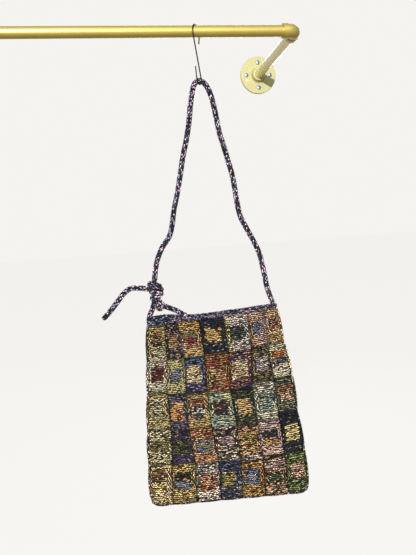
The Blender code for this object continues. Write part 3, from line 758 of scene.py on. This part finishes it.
    def add_core(self, surface, sides, step, mix, shrink, closed=False):
        """A plain tube under a cord's stitches, painted dark as the shade between them."""
        rows = max(3, round(surface.length / step) + 1)
        run = np.linspace(0, surface.length, rows)
        if closed:
            run = run[:-1]
            rows -= 1
        angle = np.arange(sides) / sides * math.tau
        grid_run, grid_angle = np.meshgrid(run, angle, indexing="ij")
        lift = np.full(grid_run.shape, -shrink)
        world = surface.points(grid_run, grid_angle, lift).reshape(-1, 3)
        index = self.count + np.arange(rows * sides).reshape(rows, sides)
        after = np.roll(index, -1, axis=1)
        ahead = np.roll(index, -1, axis=0)
        ahead_after = np.roll(after, -1, axis=0)
        faces = np.stack((index, ahead, ahead_after, after), axis=-1)
        faces = faces if closed else faces[:-1]
        self.hidden.insert(0, faces.reshape(-1, 4))
        count = rows * sides
        if not closed:
            ends = surface.line[[0, -1]]
            world = np.concatenate((world, ends))
            for ring, tip, flip in ((index[0], self.count + count, False),
                                    (index[-1], self.count + count + 1, True)):
                fan = np.stack((ring, np.roll(ring, -1), np.full(sides, tip)), axis=1)
                self.hidden.insert(0, fan[:, ::-1] if flip else fan)
            count += 2
        self.points.append(world)
        self.spots.append(np.full((count, 2), 0.002))
        self.plies.append(np.zeros((count, 2)))
        # Painted shade: the core's colour is darkened, as the shade in the gaps between stitches.
        colour = np.mean([self.yarns[name] for name in mix.split()], axis=0) * CORE_PAINTED_SHADE
        self.colours.append(np.tile(colour, (count, 1)))
        self.flecks.append(np.tile(colour, (count, 1)))
        self.count += count

    def make(self, name, material):
        """The piece's mesh object, faces that point into the cloth first."""
        faces = [*self.hidden, *self.shown]
        sizes = np.concatenate([np.full(len(part), part.shape[1]) for part in faces])
        corners = np.concatenate([part.reshape(-1) for part in faces]).astype(np.int32)
        starts = np.concatenate(((0,), np.cumsum(sizes)[:-1])).astype(np.int32)
        points = np.concatenate(self.points)
        mesh = bpy.data.meshes.new(name)
        mesh.vertices.add(len(points))
        mesh.vertices.foreach_set("co", points.astype(np.float32).ravel())
        mesh.loops.add(len(corners))
        mesh.loops.foreach_set("vertex_index", corners)
        mesh.polygons.add(len(sizes))
        mesh.polygons.foreach_set("loop_start", starts)
        mesh.update(calc_edges=True)
        mesh.shade_smooth()
        for title, rows in (("yarn", self.colours), ("fleck", self.flecks)):
            paint_points(mesh, title, np.concatenate(rows))
        for title, rows in (("OFBake", self.spots), ("ply", self.plies)):
            layer = mesh.uv_layers.new(name=title)
            values = np.concatenate(rows)[corners]
            layer.uv.foreach_set("vector", values.astype(np.float32).ravel())
        mesh.materials.append(material)
        return new_object(name, mesh)


def crochet_cord(work, surface, around, pitch, strand, mix_at, closed=False, twist=0.5):
    """Rounds of V stitches along a cord. mix_at gives the yarns at a distance along it."""
    rounds = max(2, round(surface.length / pitch))
    length = surface.length / rounds
    cells = []
    mixes = []
    for number in range(rounds):
        for stitch in range(around):
            cells.append((stitch + number * twist, number + 0.5))
            mixes.append(mix_at((number + 0.5) * length))
    cells = np.array(cells)

    def wrap(flat):
        run = flat[..., 1] * length
        run = run % surface.length if closed else np.clip(run, 0, surface.length)
        return surface.points(run, flat[..., 0] / around * math.tau, flat[..., 2])

    def spot(flat):
        strips = max(1, round(math.sqrt(surface.length / (around * pitch))))
        place = (cells[:, 1] / rounds * strips)[:, None]
        strip = np.floor(place)
        along = flat[..., 1] / rounds * strips - strip
        turn = (flat[..., 0] / around) - np.floor(cells[:, 0] / around)[:, None]
        return np.stack((0.01 + 0.98 * (along * 0.96 + 0.02),
                         0.01 + 0.98 * (strip + 0.1 + 0.8 * turn) / strips), axis=-1)

    work.add_strands(cells, np.zeros(len(cells)), wrap, mixes, strand, spot, lambda flat: 1.0)


def set_inputs(node, **inputs):
    """Sets a node's inputs, by name or as i0, i1 and so on, to values or to nodes' outputs."""
    for title, value in inputs.items():
        numbered = title[0] == "i" and title[1:].isdigit()
        slot = node.inputs[int(title[1:]) if numbered else title.replace("_", " ")]
        if isinstance(value, bpy.types.NodeSocket):
            node.id_data.links.new(value, slot)
        else:
            slot.default_value = value


def node_adder(tree):
    """A function that adds a node to a tree, with its settings and inputs."""

    def add(kind, settings=None, **inputs):
        node = tree.nodes.new(kind)
        for title, value in (settings or {}).items():
            setattr(node, title, value)
        set_inputs(node, **inputs)
        return node

    return add


def new_material(name):
    """A material and its shader."""
    material = bpy.data.materials.new(name)
    material.use_nodes = True
    return material, material.node_tree.nodes["Principled BSDF"]


def maths(add, operation, first, second=0.0):
    return add("ShaderNodeMath", {"operation": operation}, i0=first, i1=second).outputs[0]


def mixed(add, blend, share, first, second):
    settings = {"data_type": "RGBA", "blend_type": blend}
    node = add("ShaderNodeMix", settings, i0=share, i6=first, i7=second)
    return node.outputs[2]


def yarn_material():
    """Two plies of unlike colours, twisted, with a soft fuzz."""
    material, shader = new_material("Marled yarn")
    add = node_adder(material.node_tree)
    yarn = add("ShaderNodeAttribute", {"attribute_name": "yarn"}).outputs["Color"]
    fleck = add("ShaderNodeAttribute", {"attribute_name": "fleck"}).outputs["Color"]
    ply = add("ShaderNodeUVMap", {"uv_map": "ply"}).outputs["UV"]
    parts = add("ShaderNodeSeparateXYZ", Vector=ply)
    turns = maths(add, "MULTIPLY", parts.outputs["X"], 2.2)
    twist = maths(add, "ADD", turns, parts.outputs["Y"])
    wave = maths(add, "SINE", maths(add, "MULTIPLY", twist, math.tau))
    share = add("ShaderNodeMapRange", i0=wave, i1=0.1, i2=0.6, i3=0.0, i4=0.75).outputs[0]
    colour = mixed(add, "MIX", share, yarn, fleck)
    place = add("ShaderNodeTexCoord").outputs["Object"]
    fibre = add("ShaderNodeTexNoise", Vector=place, Scale=1400.0, Detail=2.0)
    shade = add("ShaderNodeMapRange", i0=fibre.outputs["Fac"], i1=0.3, i2=0.7, i3=0.78,
                i4=1.15).outputs[0]
    colour = mixed(add, "MULTIPLY", 1.0, colour, shade)
    groove = maths(add, "ABSOLUTE", wave)
    height = maths(add, "ADD", maths(add, "MULTIPLY", groove, -0.6),
                   maths(add, "MULTIPLY", fibre.outputs["Fac"], 0.5))
    bump = add("ShaderNodeBump", Strength=0.6, Distance=0.0004, Height=height)
    set_inputs(shader, Base_Color=colour, Normal=bump.outputs["Normal"], Roughness=0.88,
               Specular_IOR_Level=0.12, Sheen_Weight=0.06, Sheen_Roughness=0.5)
    return material


def cloth_material():
    """The close cloth under the stitches, with rows of small loops, painted darker towards the loops'
    edges as painted shade between them.
    """
    material, shader = new_material("Crocheted ground")
    add = node_adder(material.node_tree)
    yarn = add("ShaderNodeAttribute", {"attribute_name": "yarn"}).outputs["Color"]
    place = add("ShaderNodeTexCoord").outputs["Object"]
    cells = add("ShaderNodeTexVoronoi", {"feature": "F1"}, Vector=place, Scale=260.0)
    # Painted shade: each loop's colour darkens towards its edge.
    shade = add("ShaderNodeMapRange", i0=cells.outputs["Distance"], i1=0.0, i2=0.8, i3=1.1,
                i4=0.45).outputs[0]
    fibre = add("ShaderNodeTexNoise", Vector=place, Scale=900.0, Detail=2.0)
    colour = mixed(add, "MULTIPLY", 1.0, yarn, shade)
    height = maths(add, "ADD", maths(add, "MULTIPLY", cells.outputs["Distance"], -1.0),
                   maths(add, "MULTIPLY", fibre.outputs["Fac"], 0.3))
    bump = add("ShaderNodeBump", Strength=0.8, Distance=0.0012, Height=height)
    set_inputs(shader, Base_Color=colour, Normal=bump.outputs["Normal"], Roughness=0.95,
               Specular_IOR_Level=0.05)
    return material


def metal_material(name, colour, roughness, grain, stretch, depth, coat=0.0, metallic=1.0):
    """Metal with fine brushed lines, which run along the axes that stretch makes short."""
    material, shader = new_material(name)
    add = node_adder(material.node_tree)
    place = add("ShaderNodeTexCoord").outputs["Object"]
    mapped = add("ShaderNodeMapping", Vector=place, Scale=stretch).outputs[0]
    lines = add("ShaderNodeTexNoise", Vector=mapped, Scale=grain, Detail=3.0)
    cloud = add("ShaderNodeTexNoise", Vector=place, Scale=38.0, Detail=3.0)
    shade = add("ShaderNodeMapRange", i0=cloud.outputs["Fac"], i1=0.3, i2=0.7, i3=0.96,
                i4=1.03).outputs[0]
    tinted = mixed(add, "MULTIPLY", 1.0, (*colour, 1.0), shade)
    rough = maths(add, "ADD", maths(add, "MULTIPLY", lines.outputs["Fac"], 0.06),
                  roughness - 0.03)
    bump = add("ShaderNodeBump", Strength=0.07, Distance=depth, Height=lines.outputs["Fac"])
    set_inputs(shader, Base_Color=tinted, Roughness=rough, Normal=bump.outputs["Normal"],
               Metallic=metallic, Coat_Weight=coat, Coat_Roughness=COAT_ROUGHNESS,
               Coat_IOR=COAT_IOR)
    return material


def floor_material(colour):
    """Pale matt floor that glows a little, so it meets the surroundings without a line."""
    material, shader = new_material("Pale floor")
    set_inputs(shader, Base_Color=(*(FLOOR_DULL * share for share in colour), 1.0),
               Emission_Color=(*colour, 1.0), Emission_Strength=FLOOR_GLOW, Roughness=0.95,
               Specular_IOR_Level=0.0)
    return material


def soft_surroundings(colour, warm):
    """Surroundings that look evenly pale and light the bag mostly from above and the front."""
    world = bpy.data.worlds.new("Pale surroundings")
    world.use_nodes = True
    tree = world.node_tree
    add = node_adder(tree)
    way = add("ShaderNodeTexCoord").outputs["Generated"]
    facing = add("ShaderNodeVectorMath", {"operation": "DOT_PRODUCT"}, i0=way,
                 i1=ROOM_LIGHT_FROM).outputs["Value"]
    parts = add("ShaderNodeSeparateXYZ", i0=way)
    levels = []
    for source, values in ((facing, ROOM_EVEN), (facing, ROOM_BRIGHT),
                           (parts.outputs["Y"], ROOM_BEHIND), (parts.outputs["Z"], ROOM_NEUTRAL)):
        form = "SMOOTHSTEP" if values is ROOM_BRIGHT else "LINEAR"
        low, high, result_low, result_high = values
        level = add("ShaderNodeMapRange", {"interpolation_type": form}, Value=source,
                    From_Min=low, From_Max=high, To_Min=result_low, To_Max=result_high)
        levels.append(level.outputs["Result"])
    even, bright, behind, neutral = levels
    room = tree.nodes["Background"]
    set_inputs(room, Strength=maths(add, "ADD", maths(add, "ADD", even, bright), behind),
               Color=mixed(add, "MIX", neutral, (*warm, 1.0), (*colour, 1.0)))
    backdrop = add("ShaderNodeBackground", Color=(*colour, 1.0))
    choice = add("ShaderNodeMixShader", Fac=add("ShaderNodeLightPath").outputs["Is Camera Ray"],
                 i1=room.outputs["Background"], i2=backdrop.outputs["Background"])
    set_inputs(tree.nodes["World Output"], Surface=choice.outputs["Shader"])
    return world


def area_light(name, place, aim, width, height, power):
    light = bpy.data.lights.new(name, "AREA")
    light.shape = "RECTANGLE"
    light.size = width
    light.size_y = height
    light.energy = power
    lamp = new_object(name, light)
    lamp.location = place
    lamp.rotation_euler = (Vector(aim) - lamp.location).to_track_quat("-Z", "Y").to_euler()


def marled_yarn():
    """The yarn's material, which the first piece makes and the others share."""
    return bpy.data.materials.get("Marled yarn") or yarn_material()


def smooth_modifier(item):
    """Round shading with sharp edges over an angle, on a piece whose mesh stays as it is."""
    title = "Round shading"
    group = bpy.data.node_groups.get(title)
    if group is None:
        group = bpy.data.node_groups.new(title, "GeometryNodeTree")
        group.interface.new_socket("Geometry", in_out="INPUT", socket_type="NodeSocketGeometry")
        group.interface.new_socket("Geometry", in_out="OUTPUT", socket_type="NodeSocketGeometry")
        add = node_adder(group)
        source = add("NodeGroupInput").outputs[0]
        drop = add("GeometryNodeRemoveAttribute", Geometry=source, Name="custom_normal")
        merge = add("GeometryNodeMergeByDistance", Geometry=drop.outputs[0], Distance=0.00001)
        faces = add("GeometryNodeSetShadeSmooth", Geometry=merge.outputs[0])
        bend = add("GeometryNodeInputMeshEdgeAngle").outputs["Unsigned Angle"]
        over = add("FunctionNodeCompare", A=bend, B=SHARP_ANGLE).outputs["Result"]
        edges = add("GeometryNodeSetShadeSmooth", {"domain": "EDGE"}, Geometry=faces.outputs[0],
                    Selection=over, Shade_Smooth=False)
        add("NodeGroupOutput", i0=edges.outputs[0])
    item.modifiers.new(title, "NODES").node_group = group


def patch_of(face, row, column):
    """A patch of the chart. The back holds the same patches in another order."""
    if face > 0:
        return CHART[row][column]
    return CHART[(row + BACK_ROW_SHIFT) % ROWS][(column * BACK_COLUMN_STEP + 1) % COLUMNS]


def yarns_at(patch, across, down):
    """The yarns at a place on a patch."""
    mix = patch[0]
    for left, right, top, foot, area_mix in patch[1:]:
        if left <= across <= right and top <= down <= foot:
            mix = area_mix
    return mix


def side_strips(patch):
    """Left, right, top and foot of the block that the frame's upright strips go round."""
    blocks = [area for area in patch[1:] if area[0] > 0.05 and area[1] < 0.97]
    if not blocks:
        return 0, 1, 0, 0
    return (min(area[0] for area in blocks), max(area[1] for area in blocks),
            min(area[2] for area in blocks), max(area[3] for area in blocks))


def out_of_seam(part, down):
    """From 0 on a patch's border to 1 inside it."""
    beside = np.clip(np.minimum(part, 1 - part) / SEAM_REACH, 0, 1)
    above = np.clip(np.minimum(down, 1 - down) / SEAM_REACH_DOWN, 0, 1)
    return beside * above


def crochet_patches(settings, yarns, face, row, material):
    """One row of seven patches on one face of the bag, as a piece of joined stitches."""
    work = YarnWork(yarns, seed=100 * row + PATCH_SEEDS[face])
    across_count = settings.across
    down_count = settings.down
    for column in range(COLUMNS):
        patch = patch_of(face, row, column)
        left, right, top, foot = side_strips(patch)
        cells = []
        turned = []
        mixes = []
        for line in range(down_count):
            down = (line + 0.5) / down_count
            for stitch in range(across_count):
                across = (stitch + 0.5) / across_count
                wander = work.random.normal(0, AREA_WANDER, 2)
                stagger = STAGGER if line % 2 else -STAGGER
                cells.append((stitch + 0.5 + stagger, line + 0.5))
                upright = top <= down <= foot and not left <= across <= right
                turned.append(0 if upright else 1 - line % 2 * 2)
                mixes.append(yarns_at(patch, across + wander[0], down + wander[1]))
        cells = np.array(cells)

        def wrap(flat, column=column):
            part = flat[..., 0] / across_count
            down = flat[..., 1] / down_count
            columns = np.full(part.shape, column)
            lift = flat[..., 2] + settings.lift - SEAM_DROP * (1 - out_of_seam(part, down))
            return raised_points(columns, row, part, down, face, lift)

        def spot(flat, column=column):
            return np.stack((0.01 + 0.98 * (column + flat[..., 0] / across_count) / COLUMNS,
                             0.99 - 0.98 * flat[..., 1] / down_count), axis=-1)

        # Painted shade: stitches near a patch's border are painted darker, as the shade in the seam's
        # groove.
        def painted_shade_at(flat):
            clear = out_of_seam(flat[..., 0] / across_count, flat[..., 1] / down_count)
            return (SEAM_PAINTED_SHADE + (1 - SEAM_PAINTED_SHADE) * clear)[..., None]

        work.add_strands(cells, np.array(turned), wrap, mixes, settings.strand, spot, painted_shade_at)
    piece = work.make(f"{FACE_NAMES[face]}_patches_row_{row + 1}", material)
    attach(piece, "root")
    return piece


def cloth_grid():
    """Columns, rows and shares of the points of a face's cloth, and how many lie each way."""
    across_steps = 8
    down_steps = 12
    places = []
    for row_step in range(ROWS * down_steps + 1):
        row = min(row_step // down_steps, ROWS - 1)
        for column_step in range(COLUMNS * across_steps + 1):
            column = min(column_step // across_steps, COLUMNS - 1)
            places.append((column, row, column_step / across_steps - column,
                           row_step / down_steps - row))
    return places, COLUMNS * across_steps + 1, ROWS * down_steps + 1


def make_cloth(settings, yarns, face, material):
    """One face's cloth: a closed thin sheet under the stitches, its yarn colours darkened as painted shade
    between the stitches.
    """
    places, wide, tall = cloth_grid()
    table = np.array(places)
    column = table[:, 0].astype(int)
    middle = np.zeros((len(table), 3))
    raised = np.zeros((len(table), 3))
    for row in range(ROWS):
        rows = table[:, 1] == row
        facts = (column[rows], row, table[rows, 2], table[rows, 3], face)
        middle[rows] = cloth_points(*facts)
        raised[rows] = raised_points(*facts, np.full(rows.sum(), 1.0))
    outward = raised - middle
    outer = middle + outward * settings.cloth * CLOTH_OUTER_SHARE
    inner = middle - outward * settings.cloth * (1 - CLOTH_OUTER_SHARE)
    points = np.concatenate((outer, inner))
    index = np.arange(wide * tall).reshape(tall, wide)
    quads = np.stack((index[:-1, :-1], index[1:, :-1], index[1:, 1:], index[:-1, 1:]), axis=-1)
    quads = quads.reshape(-1, 4)
    if face < 0:
        quads = quads[:, ::-1]
    border = np.concatenate((index[0, :-1], index[:-1, -1], index[-1, :0:-1], index[:0:-1, 0]))
    after = np.roll(border, -1)
    shift = wide * tall
    walls = np.stack((border, after, after + shift, border + shift), axis=1)
    if face < 0:
        walls = walls[:, ::-1]
    faces = np.concatenate((quads, quads[:, ::-1] + shift, walls))
    name = f"{FACE_NAMES[face]}_cloth"
    mesh = bpy.data.meshes.new(name)
    mesh.from_pydata(points.tolist(), [], faces.tolist())
    mesh.shade_smooth()
    random = np.random.default_rng(CLOTH_SEEDS[face])
    shades = []
    for place_column, row, part, down in places:
        mix = yarns_at(patch_of(face, row, place_column), part, down).split()
        # Painted shade: the cloth's yarn colours are darkened, as the shade in the gaps between stitches.
        shades.append(np.array(getattr(yarns, mix[random.integers(len(mix))])) * CLOTH_PAINTED_SHADE)
    paint_points(mesh, "yarn", np.array(shades * 2))
    mesh.materials.append(material)
    item = new_object(name, mesh)
    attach(item, "root")
    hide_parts("front_panel" if face > 0 else "back_panel")
    return item


def constant(value):
    return lambda run: np.full(np.shape(run), value)


def rounded_ends(radius, line):
    """A cord's radius along its line, drawn in to a round end at the start and at the end."""
    length = line_length(line)

    def profile(run):
        share = np.clip(np.minimum(run, length - run) / radius, 0, 1)
        return radius * np.sqrt(np.clip(1 - (1 - share) ** 2, TIP_LEAST, 1))

    return profile


def dress_cord(work, line, radius, around, pitch, strand, mix_at, profile=None, up=None,
               closed=False):
    """A cord's core and its stitches, whose outsides lie on the given radius."""
    room = profile or constant(radius)

    def inner(run):
        return np.maximum(room(run) - strand, radius * CORE_LEAST)

    surface = CordSurface(line, inner, inner, up)
    work.add_core(surface, CORE_SIDES, CORE_STEP, NAVY_MIX, CORE_SHRINK, closed)
    crochet_cord(work, surface, around, pitch, strand, mix_at, closed)


class BAG_OT_camera(bpy.types.Operator):
    """Place the camera at the photograph's angle"""

    bl_idname = "bag.camera"
    bl_label = "Place the camera"

    def execute(self, context):
        forward = Vector((math.sin(CAMERA_YAW) * math.cos(CAMERA_PITCH),
                          math.cos(CAMERA_YAW) * math.cos(CAMERA_PITCH), math.sin(CAMERA_PITCH)))
        level = Vector((math.cos(CAMERA_YAW), -math.sin(CAMERA_YAW), 0))
        down = forward.cross(level)
        right = level * math.cos(CAMERA_ROLL) + down * math.sin(CAMERA_ROLL)
        fall = down * math.cos(CAMERA_ROLL) - level * math.sin(CAMERA_ROLL)
        data = bpy.data.cameras.new("Camera")
        data.lens = CAMERA_LENS
        data.clip_start = 0.05
        data.clip_end = 200
        camera = new_object("Camera", data)
        axes = Matrix((right, -fall, -forward)).transposed()
        camera.matrix_world = Matrix.Translation(CAMERA_PLACE) @ axes.to_4x4()
        context.scene.camera = camera
        return {"FINISHED"}


class BAG_OT_strap(bpy.types.Operator):
    """Crochet the cord strap over the hook"""

    bl_idname = "bag.strap"
    bl_label = "Crochet the strap"

    def execute(self, context):
        sizes = context.scene.bag_cords
        line = route_line(STRAP_ROUTE, 4 * MM)
        work = YarnWork(context.scene.bag_yarns, seed=31, **CORD_FLECKS)
        radius = sizes.strap / 2
        dress_cord(work, line, radius, CORD_AROUND, sizes.pitch, STRAP_STRAND, lambda run: NAVY_MIX,
                   profile=rounded_ends(radius, line))
        strap = work.make("strap_cord", marled_yarn())
        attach(strap, "root")
        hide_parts("strap", "strap_foot")
        return {"FINISHED"}


class BAG_OT_tie(bpy.types.Operator):
    """Crochet the tie, which runs from the rim through the knot to its free end"""

    bl_idname = "bag.tie"
    bl_label = "Crochet the tie"

    def execute(self, context):
        sizes = context.scene.bag_cords
        line = route_line(TIE_ROUTE, 3 * MM)
        radius = sizes.tie / 2
        work = YarnWork(context.scene.bag_yarns, seed=32, **CORD_FLECKS)
        dress_cord(work, line, radius, CORD_AROUND, sizes.pitch, TIE_STRAND, lambda run: NAVY_MIX,
                   profile=rounded_ends(radius, line))
        tie = work.make("tie_crochet", marled_yarn())
        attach(tie, "root")
        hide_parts("tie_cord", "tie_tail")
        return {"FINISHED"}


class BAG_OT_knot(bpy.types.Operator):
    """Crochet the knot: three wraps of cord and the ball under them"""

    bl_idname = "bag.knot"
    bl_label = "Crochet the knot"

    def execute(self, context):
        work = YarnWork(context.scene.bag_yarns, seed=33, **CORD_FLECKS)
        pitch = context.scene.bag_cords.pitch
        for across, depth, height, lean in KNOT_WRAPS:
            centre = bag_points(across * MM, depth * MM, height * MM)
            turn = Matrix.Rotation(math.radians(lean), 3, "Y")
            ring = []
            for step in range(KNOT_STEPS + 1):
                angle = math.tau * step / KNOT_STEPS
                spoke = Vector((math.cos(angle), math.sin(angle), 0)) * WRAP_RADIUS
                ring.append(centre + np.array(turn @ spoke))
            dress_cord(work, np.array(ring), WRAP_CORD, CORD_AROUND, pitch, TIE_STRAND,
                       lambda run: NAVY_MIX, up=tuple(turn @ Vector((0, 0, 1))), closed=True)
        ball = bag_points(*(np.array(KNOT_BALL) * MM))
        axis = np.array(KNOT_BALL_AXIS)
        reach = KNOT_BALL_RADIUS
        line = np.array([ball + axis * reach * share for share in np.linspace(-1, 1, 13)])
        dress_cord(work, line, reach, BALL_AROUND, BALL_PITCH, TIE_STRAND,
                   lambda run: KNOT_BALL_MIX, profile=rounded_ends(reach, line))
        knot = work.make("knot_crochet", marled_yarn())
        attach(knot, "root")
        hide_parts("strap_knot")
        return {"FINISHED"}


class BAG_OT_cloth(bpy.types.Operator):
    """Make the two faces' cloth and crochet their patches"""

    bl_idname = "bag.cloth"
    bl_label = "Make the patchwork"

    def execute(self, context):
        scene = context.scene
        yarn = marled_yarn()
        ground = cloth_material()
        for face in (1, -1):
            cloth = make_cloth(scene.bag_stitches, scene.bag_yarns, face, ground)
            rows = [crochet_patches(scene.bag_stitches, scene.bag_yarns, face, row, yarn)
                    for row in range(ROWS)]
        return {"FINISHED"}


class BAG_OT_rim(bpy.types.Operator):
    """Crochet the band round the mouth"""

    bl_idname = "bag.rim"
    bl_label = "Crochet the rim"

    def execute(self, context):
        sizes = context.scene.bag_cords
        steps = 4
        ring = []
        heights = []
        for face in (1, -1):
            for step in range(COLUMNS * steps + 1):
                step = step if face > 0 else COLUMNS * steps - step
                column = min(step // steps, COLUMNS - 1)
                part = step / steps - column
                facts = (np.array([column]), np.array([part]), np.array([0.0]))
                across, height = bag_outline(*facts)
                depth = half_depth(*facts, np.array([0.0]), face) * face
                place = step / steps
                share = place / COLUMNS
                straight = SEAM_LINES[0, 0] * (1 - share) + SEAM_LINES[0, 1] * share
                rise = np.interp(place, range(COLUMNS + 1), RIM_TOPS[face])
                foot = height[0] + RIM_CLEARANCE
                top = (straight + rise) * MM
                ring.append((across[0], depth[0], (foot + top) / 2))
                heights.append(top - foot)
            last = ring[-1]
            ring.append((last[0] + math.copysign(RIM_END_REACH, face), 0, last[2]))
            heights.append(heights[-1])
        ring.append(ring[0])
        heights.append(heights[0])
        table = np.array(ring)
        world = bag_points(*table.T)
        run = distances(world)
        line = spaced(world, 4 * MM)

        def half_tall(place):
            return np.interp(place, run, heights) / 2 - RIM_STRAND + RIM_EXTRA_HEIGHT

        def half_thick(place):
            return np.full(np.shape(place), sizes.rim / 2 - RIM_STRAND)

        def mix_at(place):
            across = np.interp(place, run, table[:, 0])
            return RIM_LEFT_MIX if across < RIM_TEAL_END else NAVY_MIX

        work = YarnWork(context.scene.bag_yarns, seed=34, **RIM_FLECKS)
        surface = CordSurface(line, half_thick, half_tall, up=(0, 0, 1))
        work.add_core(surface, CORE_SIDES, RIM_CORE_STEP, NAVY_MIX, CORE_SHRINK, closed=True)
        crochet_cord(work, surface, RIM_AROUND, sizes.pitch, RIM_STRAND, mix_at, closed=True,
                     twist=0.0)
        rim = work.make("rim_crochet", marled_yarn())
        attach(rim, "root")
        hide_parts("rim_band")
        return {"FINISHED"}


class BAG_OT_edge(bpy.types.Operator):
    """Crochet the join down the sides and along the foot"""

    bl_idname = "bag.edge"
    bl_label = "Crochet the edge"

    def execute(self, context):
        sizes = context.scene.bag_cords
        down_steps = 5
        across_steps = 4
        places = [(0, row / down_steps) for row in range(ROWS * down_steps)]
        places += [(step / across_steps, ROWS) for step in range(COLUMNS * across_steps + 1)]
        places += [(COLUMNS, row / down_steps) for row in range(ROWS * down_steps - 1, -1, -1)]
        edge = []
        for column_place, row_place in places:
            column = min(int(column_place), COLUMNS - 1)
            across, height = bag_outline(np.array([column]), np.array([column_place - column]),
                                         np.array([float(row_place)]))
            edge.append((across[0], 0.0, height[0]))
        edge = np.array(edge)
        run = np.gradient(edge, axis=0)
        run /= np.linalg.norm(run, axis=1, keepdims=True)
        outward = np.stack((run[:, 2], np.zeros(len(run)), -run[:, 0]), axis=1)
        edge = edge + outward * EDGE_CLEARANCE
        edge[0, 2] -= EDGE_CLEARANCE / 2
        edge[-1, 2] -= EDGE_CLEARANCE / 2
        line = spaced(bag_points(*edge.T), 3 * MM)
        length = line_length(line)

        def mix_at(place):
            share = place / length
            if share < SIDE_SHARE:
                row = min(int(share / SIDE_SHARE * ROWS), ROWS - 1)
                return CHART[row][0][0] + " navy charcoal"
            if share > 1 - SIDE_SHARE:
                row = min(int((1 - share) / SIDE_SHARE * ROWS), ROWS - 1)
                return CHART[row][COLUMNS - 1][0]
            return FOOT_MIX

        work = YarnWork(context.scene.bag_yarns, seed=35, **RIM_FLECKS)
        dress_cord(work, line, sizes.edge / 2, EDGE_AROUND, sizes.pitch, EDGE_STRAND, mix_at,
                   up=(0, -1, 0))
        seam = work.make("edge_crochet", marled_yarn())
        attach(seam, "root")
        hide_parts("edge_seam")
        return {"FINISHED"}


class BAG_OT_metal(bpy.types.Operator):
    """Finish the rail, its bracket, the screws and the hook"""

    bl_idname = "bag.metal"
    bl_label = "Finish the metal"

    def execute(self, context):
        metal = context.scene.bag_metal
        along = metal_material("Satin brass", metal.brass, metal.roughness, 900.0,
                               (0.03, 1.0, 1.0), 0.00004, coat=0.5, metallic=0.7)
        # The arm's paler brass is partly a painted reflection of the bright room.
        inward = metal_material("Satin brass arm", metal.arm, metal.roughness, 900.0,
                                (1.0, 0.03, 1.0), 0.00001, coat=1.0)
        turned = metal_material("Brushed brass", metal.flange, 0.5, 500.0,
                                (1.0, 1.0, 0.05), 0.00003, metallic=0.15)
        zinc = metal_material("Zinc", metal.zinc, 0.45, 600.0, (1.0, 1.0, 1.0), 0.00003)
        steel = metal_material("Grey steel", metal.steel, 0.35, 600.0, (1.0, 1.0, 1.0), 0.00003)
        finishes = {
            along: ("rail", "rail_end_cap", "elbow"),
            inward: ("bracket_arm",),
            turned: ("wall_flange",),
            zinc: ("flange_screw_1", "flange_screw_2", "flange_screw_3", "flange_screw_4"),
            steel: ("s_hook",),
        }
        for material, names in finishes.items():
            for name in names:
                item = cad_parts[name]
                item.data.materials.clear()
                item.data.materials.append(material)
                smooth_modifier(item)
        return {"FINISHED"}


class BAG_OT_stage(bpy.types.Operator):
    """Make the floor, the soft light and the pale surroundings"""

    bl_idname = "bag.stage"
    bl_label = "Make the stage"

    def execute(self, context):
        sizes = context.scene.bag_stage
        bpy.ops.mesh.primitive_plane_add(size=sizes.width, location=(0, 0, -sizes.drop))
        floor = context.active_object
        floor.name = "Floor"
        floor.data.materials.append(floor_material(sizes.pale))
        floor.visible_diffuse = False
        floor.visible_glossy = False
        context.scene.world = soft_surroundings(sizes.pale, sizes.warm)
        area_light("Key", np.array(LIGHT_AIM) - KEY_DISTANCE * np.array(KEY_TRAVEL), LIGHT_AIM,
                   KEY_SIZE, KEY_SIZE, sizes.key)
        area_light("Fill", FILL_PLACE, LIGHT_AIM, FILL_SIZE, FILL_SIZE, sizes.fill)
        context.scene.view_settings.view_transform = "Standard"
        return {"FINISHED"}


OPERATORS = (BAG_OT_camera, BAG_OT_strap, BAG_OT_tie, BAG_OT_knot, BAG_OT_rim, BAG_OT_edge,
             BAG_OT_cloth, BAG_OT_metal, BAG_OT_stage)


class BAG_PT_sidebar(bpy.types.Panel):
    """The bag's pieces in the sidebar"""

    bl_idname = "BAG_PT_sidebar"
    bl_label = "Patchwork bag"
    bl_space_type = "VIEW_3D"
    bl_region_type = "UI"
    bl_category = "Bag"

    def draw(self, context):
        for operator in OPERATORS:
            self.layout.operator(operator.bl_idname)
        for group in SETTINGS:
            settings = getattr(context.scene, group)
            box = self.layout.box()
            for name in settings.__annotations__:
                box.prop(settings, name)


SETTINGS = {
    "bag_yarns": BagYarns,
    "bag_stitches": StitchSizes,
    "bag_cords": CordSizes,
    "bag_metal": MetalFinish,
    "bag_stage": StageSizes,
}
CLASSES = (*SETTINGS.values(), *OPERATORS, BAG_PT_sidebar)


def register():
    for item in CLASSES:
        bpy.utils.register_class(item)
    for name, group in SETTINGS.items():
        setattr(bpy.types.Scene, name, PointerProperty(type=group))


def unregister():
    for name in SETTINGS:
        delattr(bpy.types.Scene, name)
    for item in reversed(CLASSES):
        bpy.utils.unregister_class(item)


def main():
    register()
    for operator in OPERATORS:
        group, name = operator.bl_idname.split(".")
        getattr(getattr(bpy.ops, group), name)()


if __name__ == "__main__":
    main()
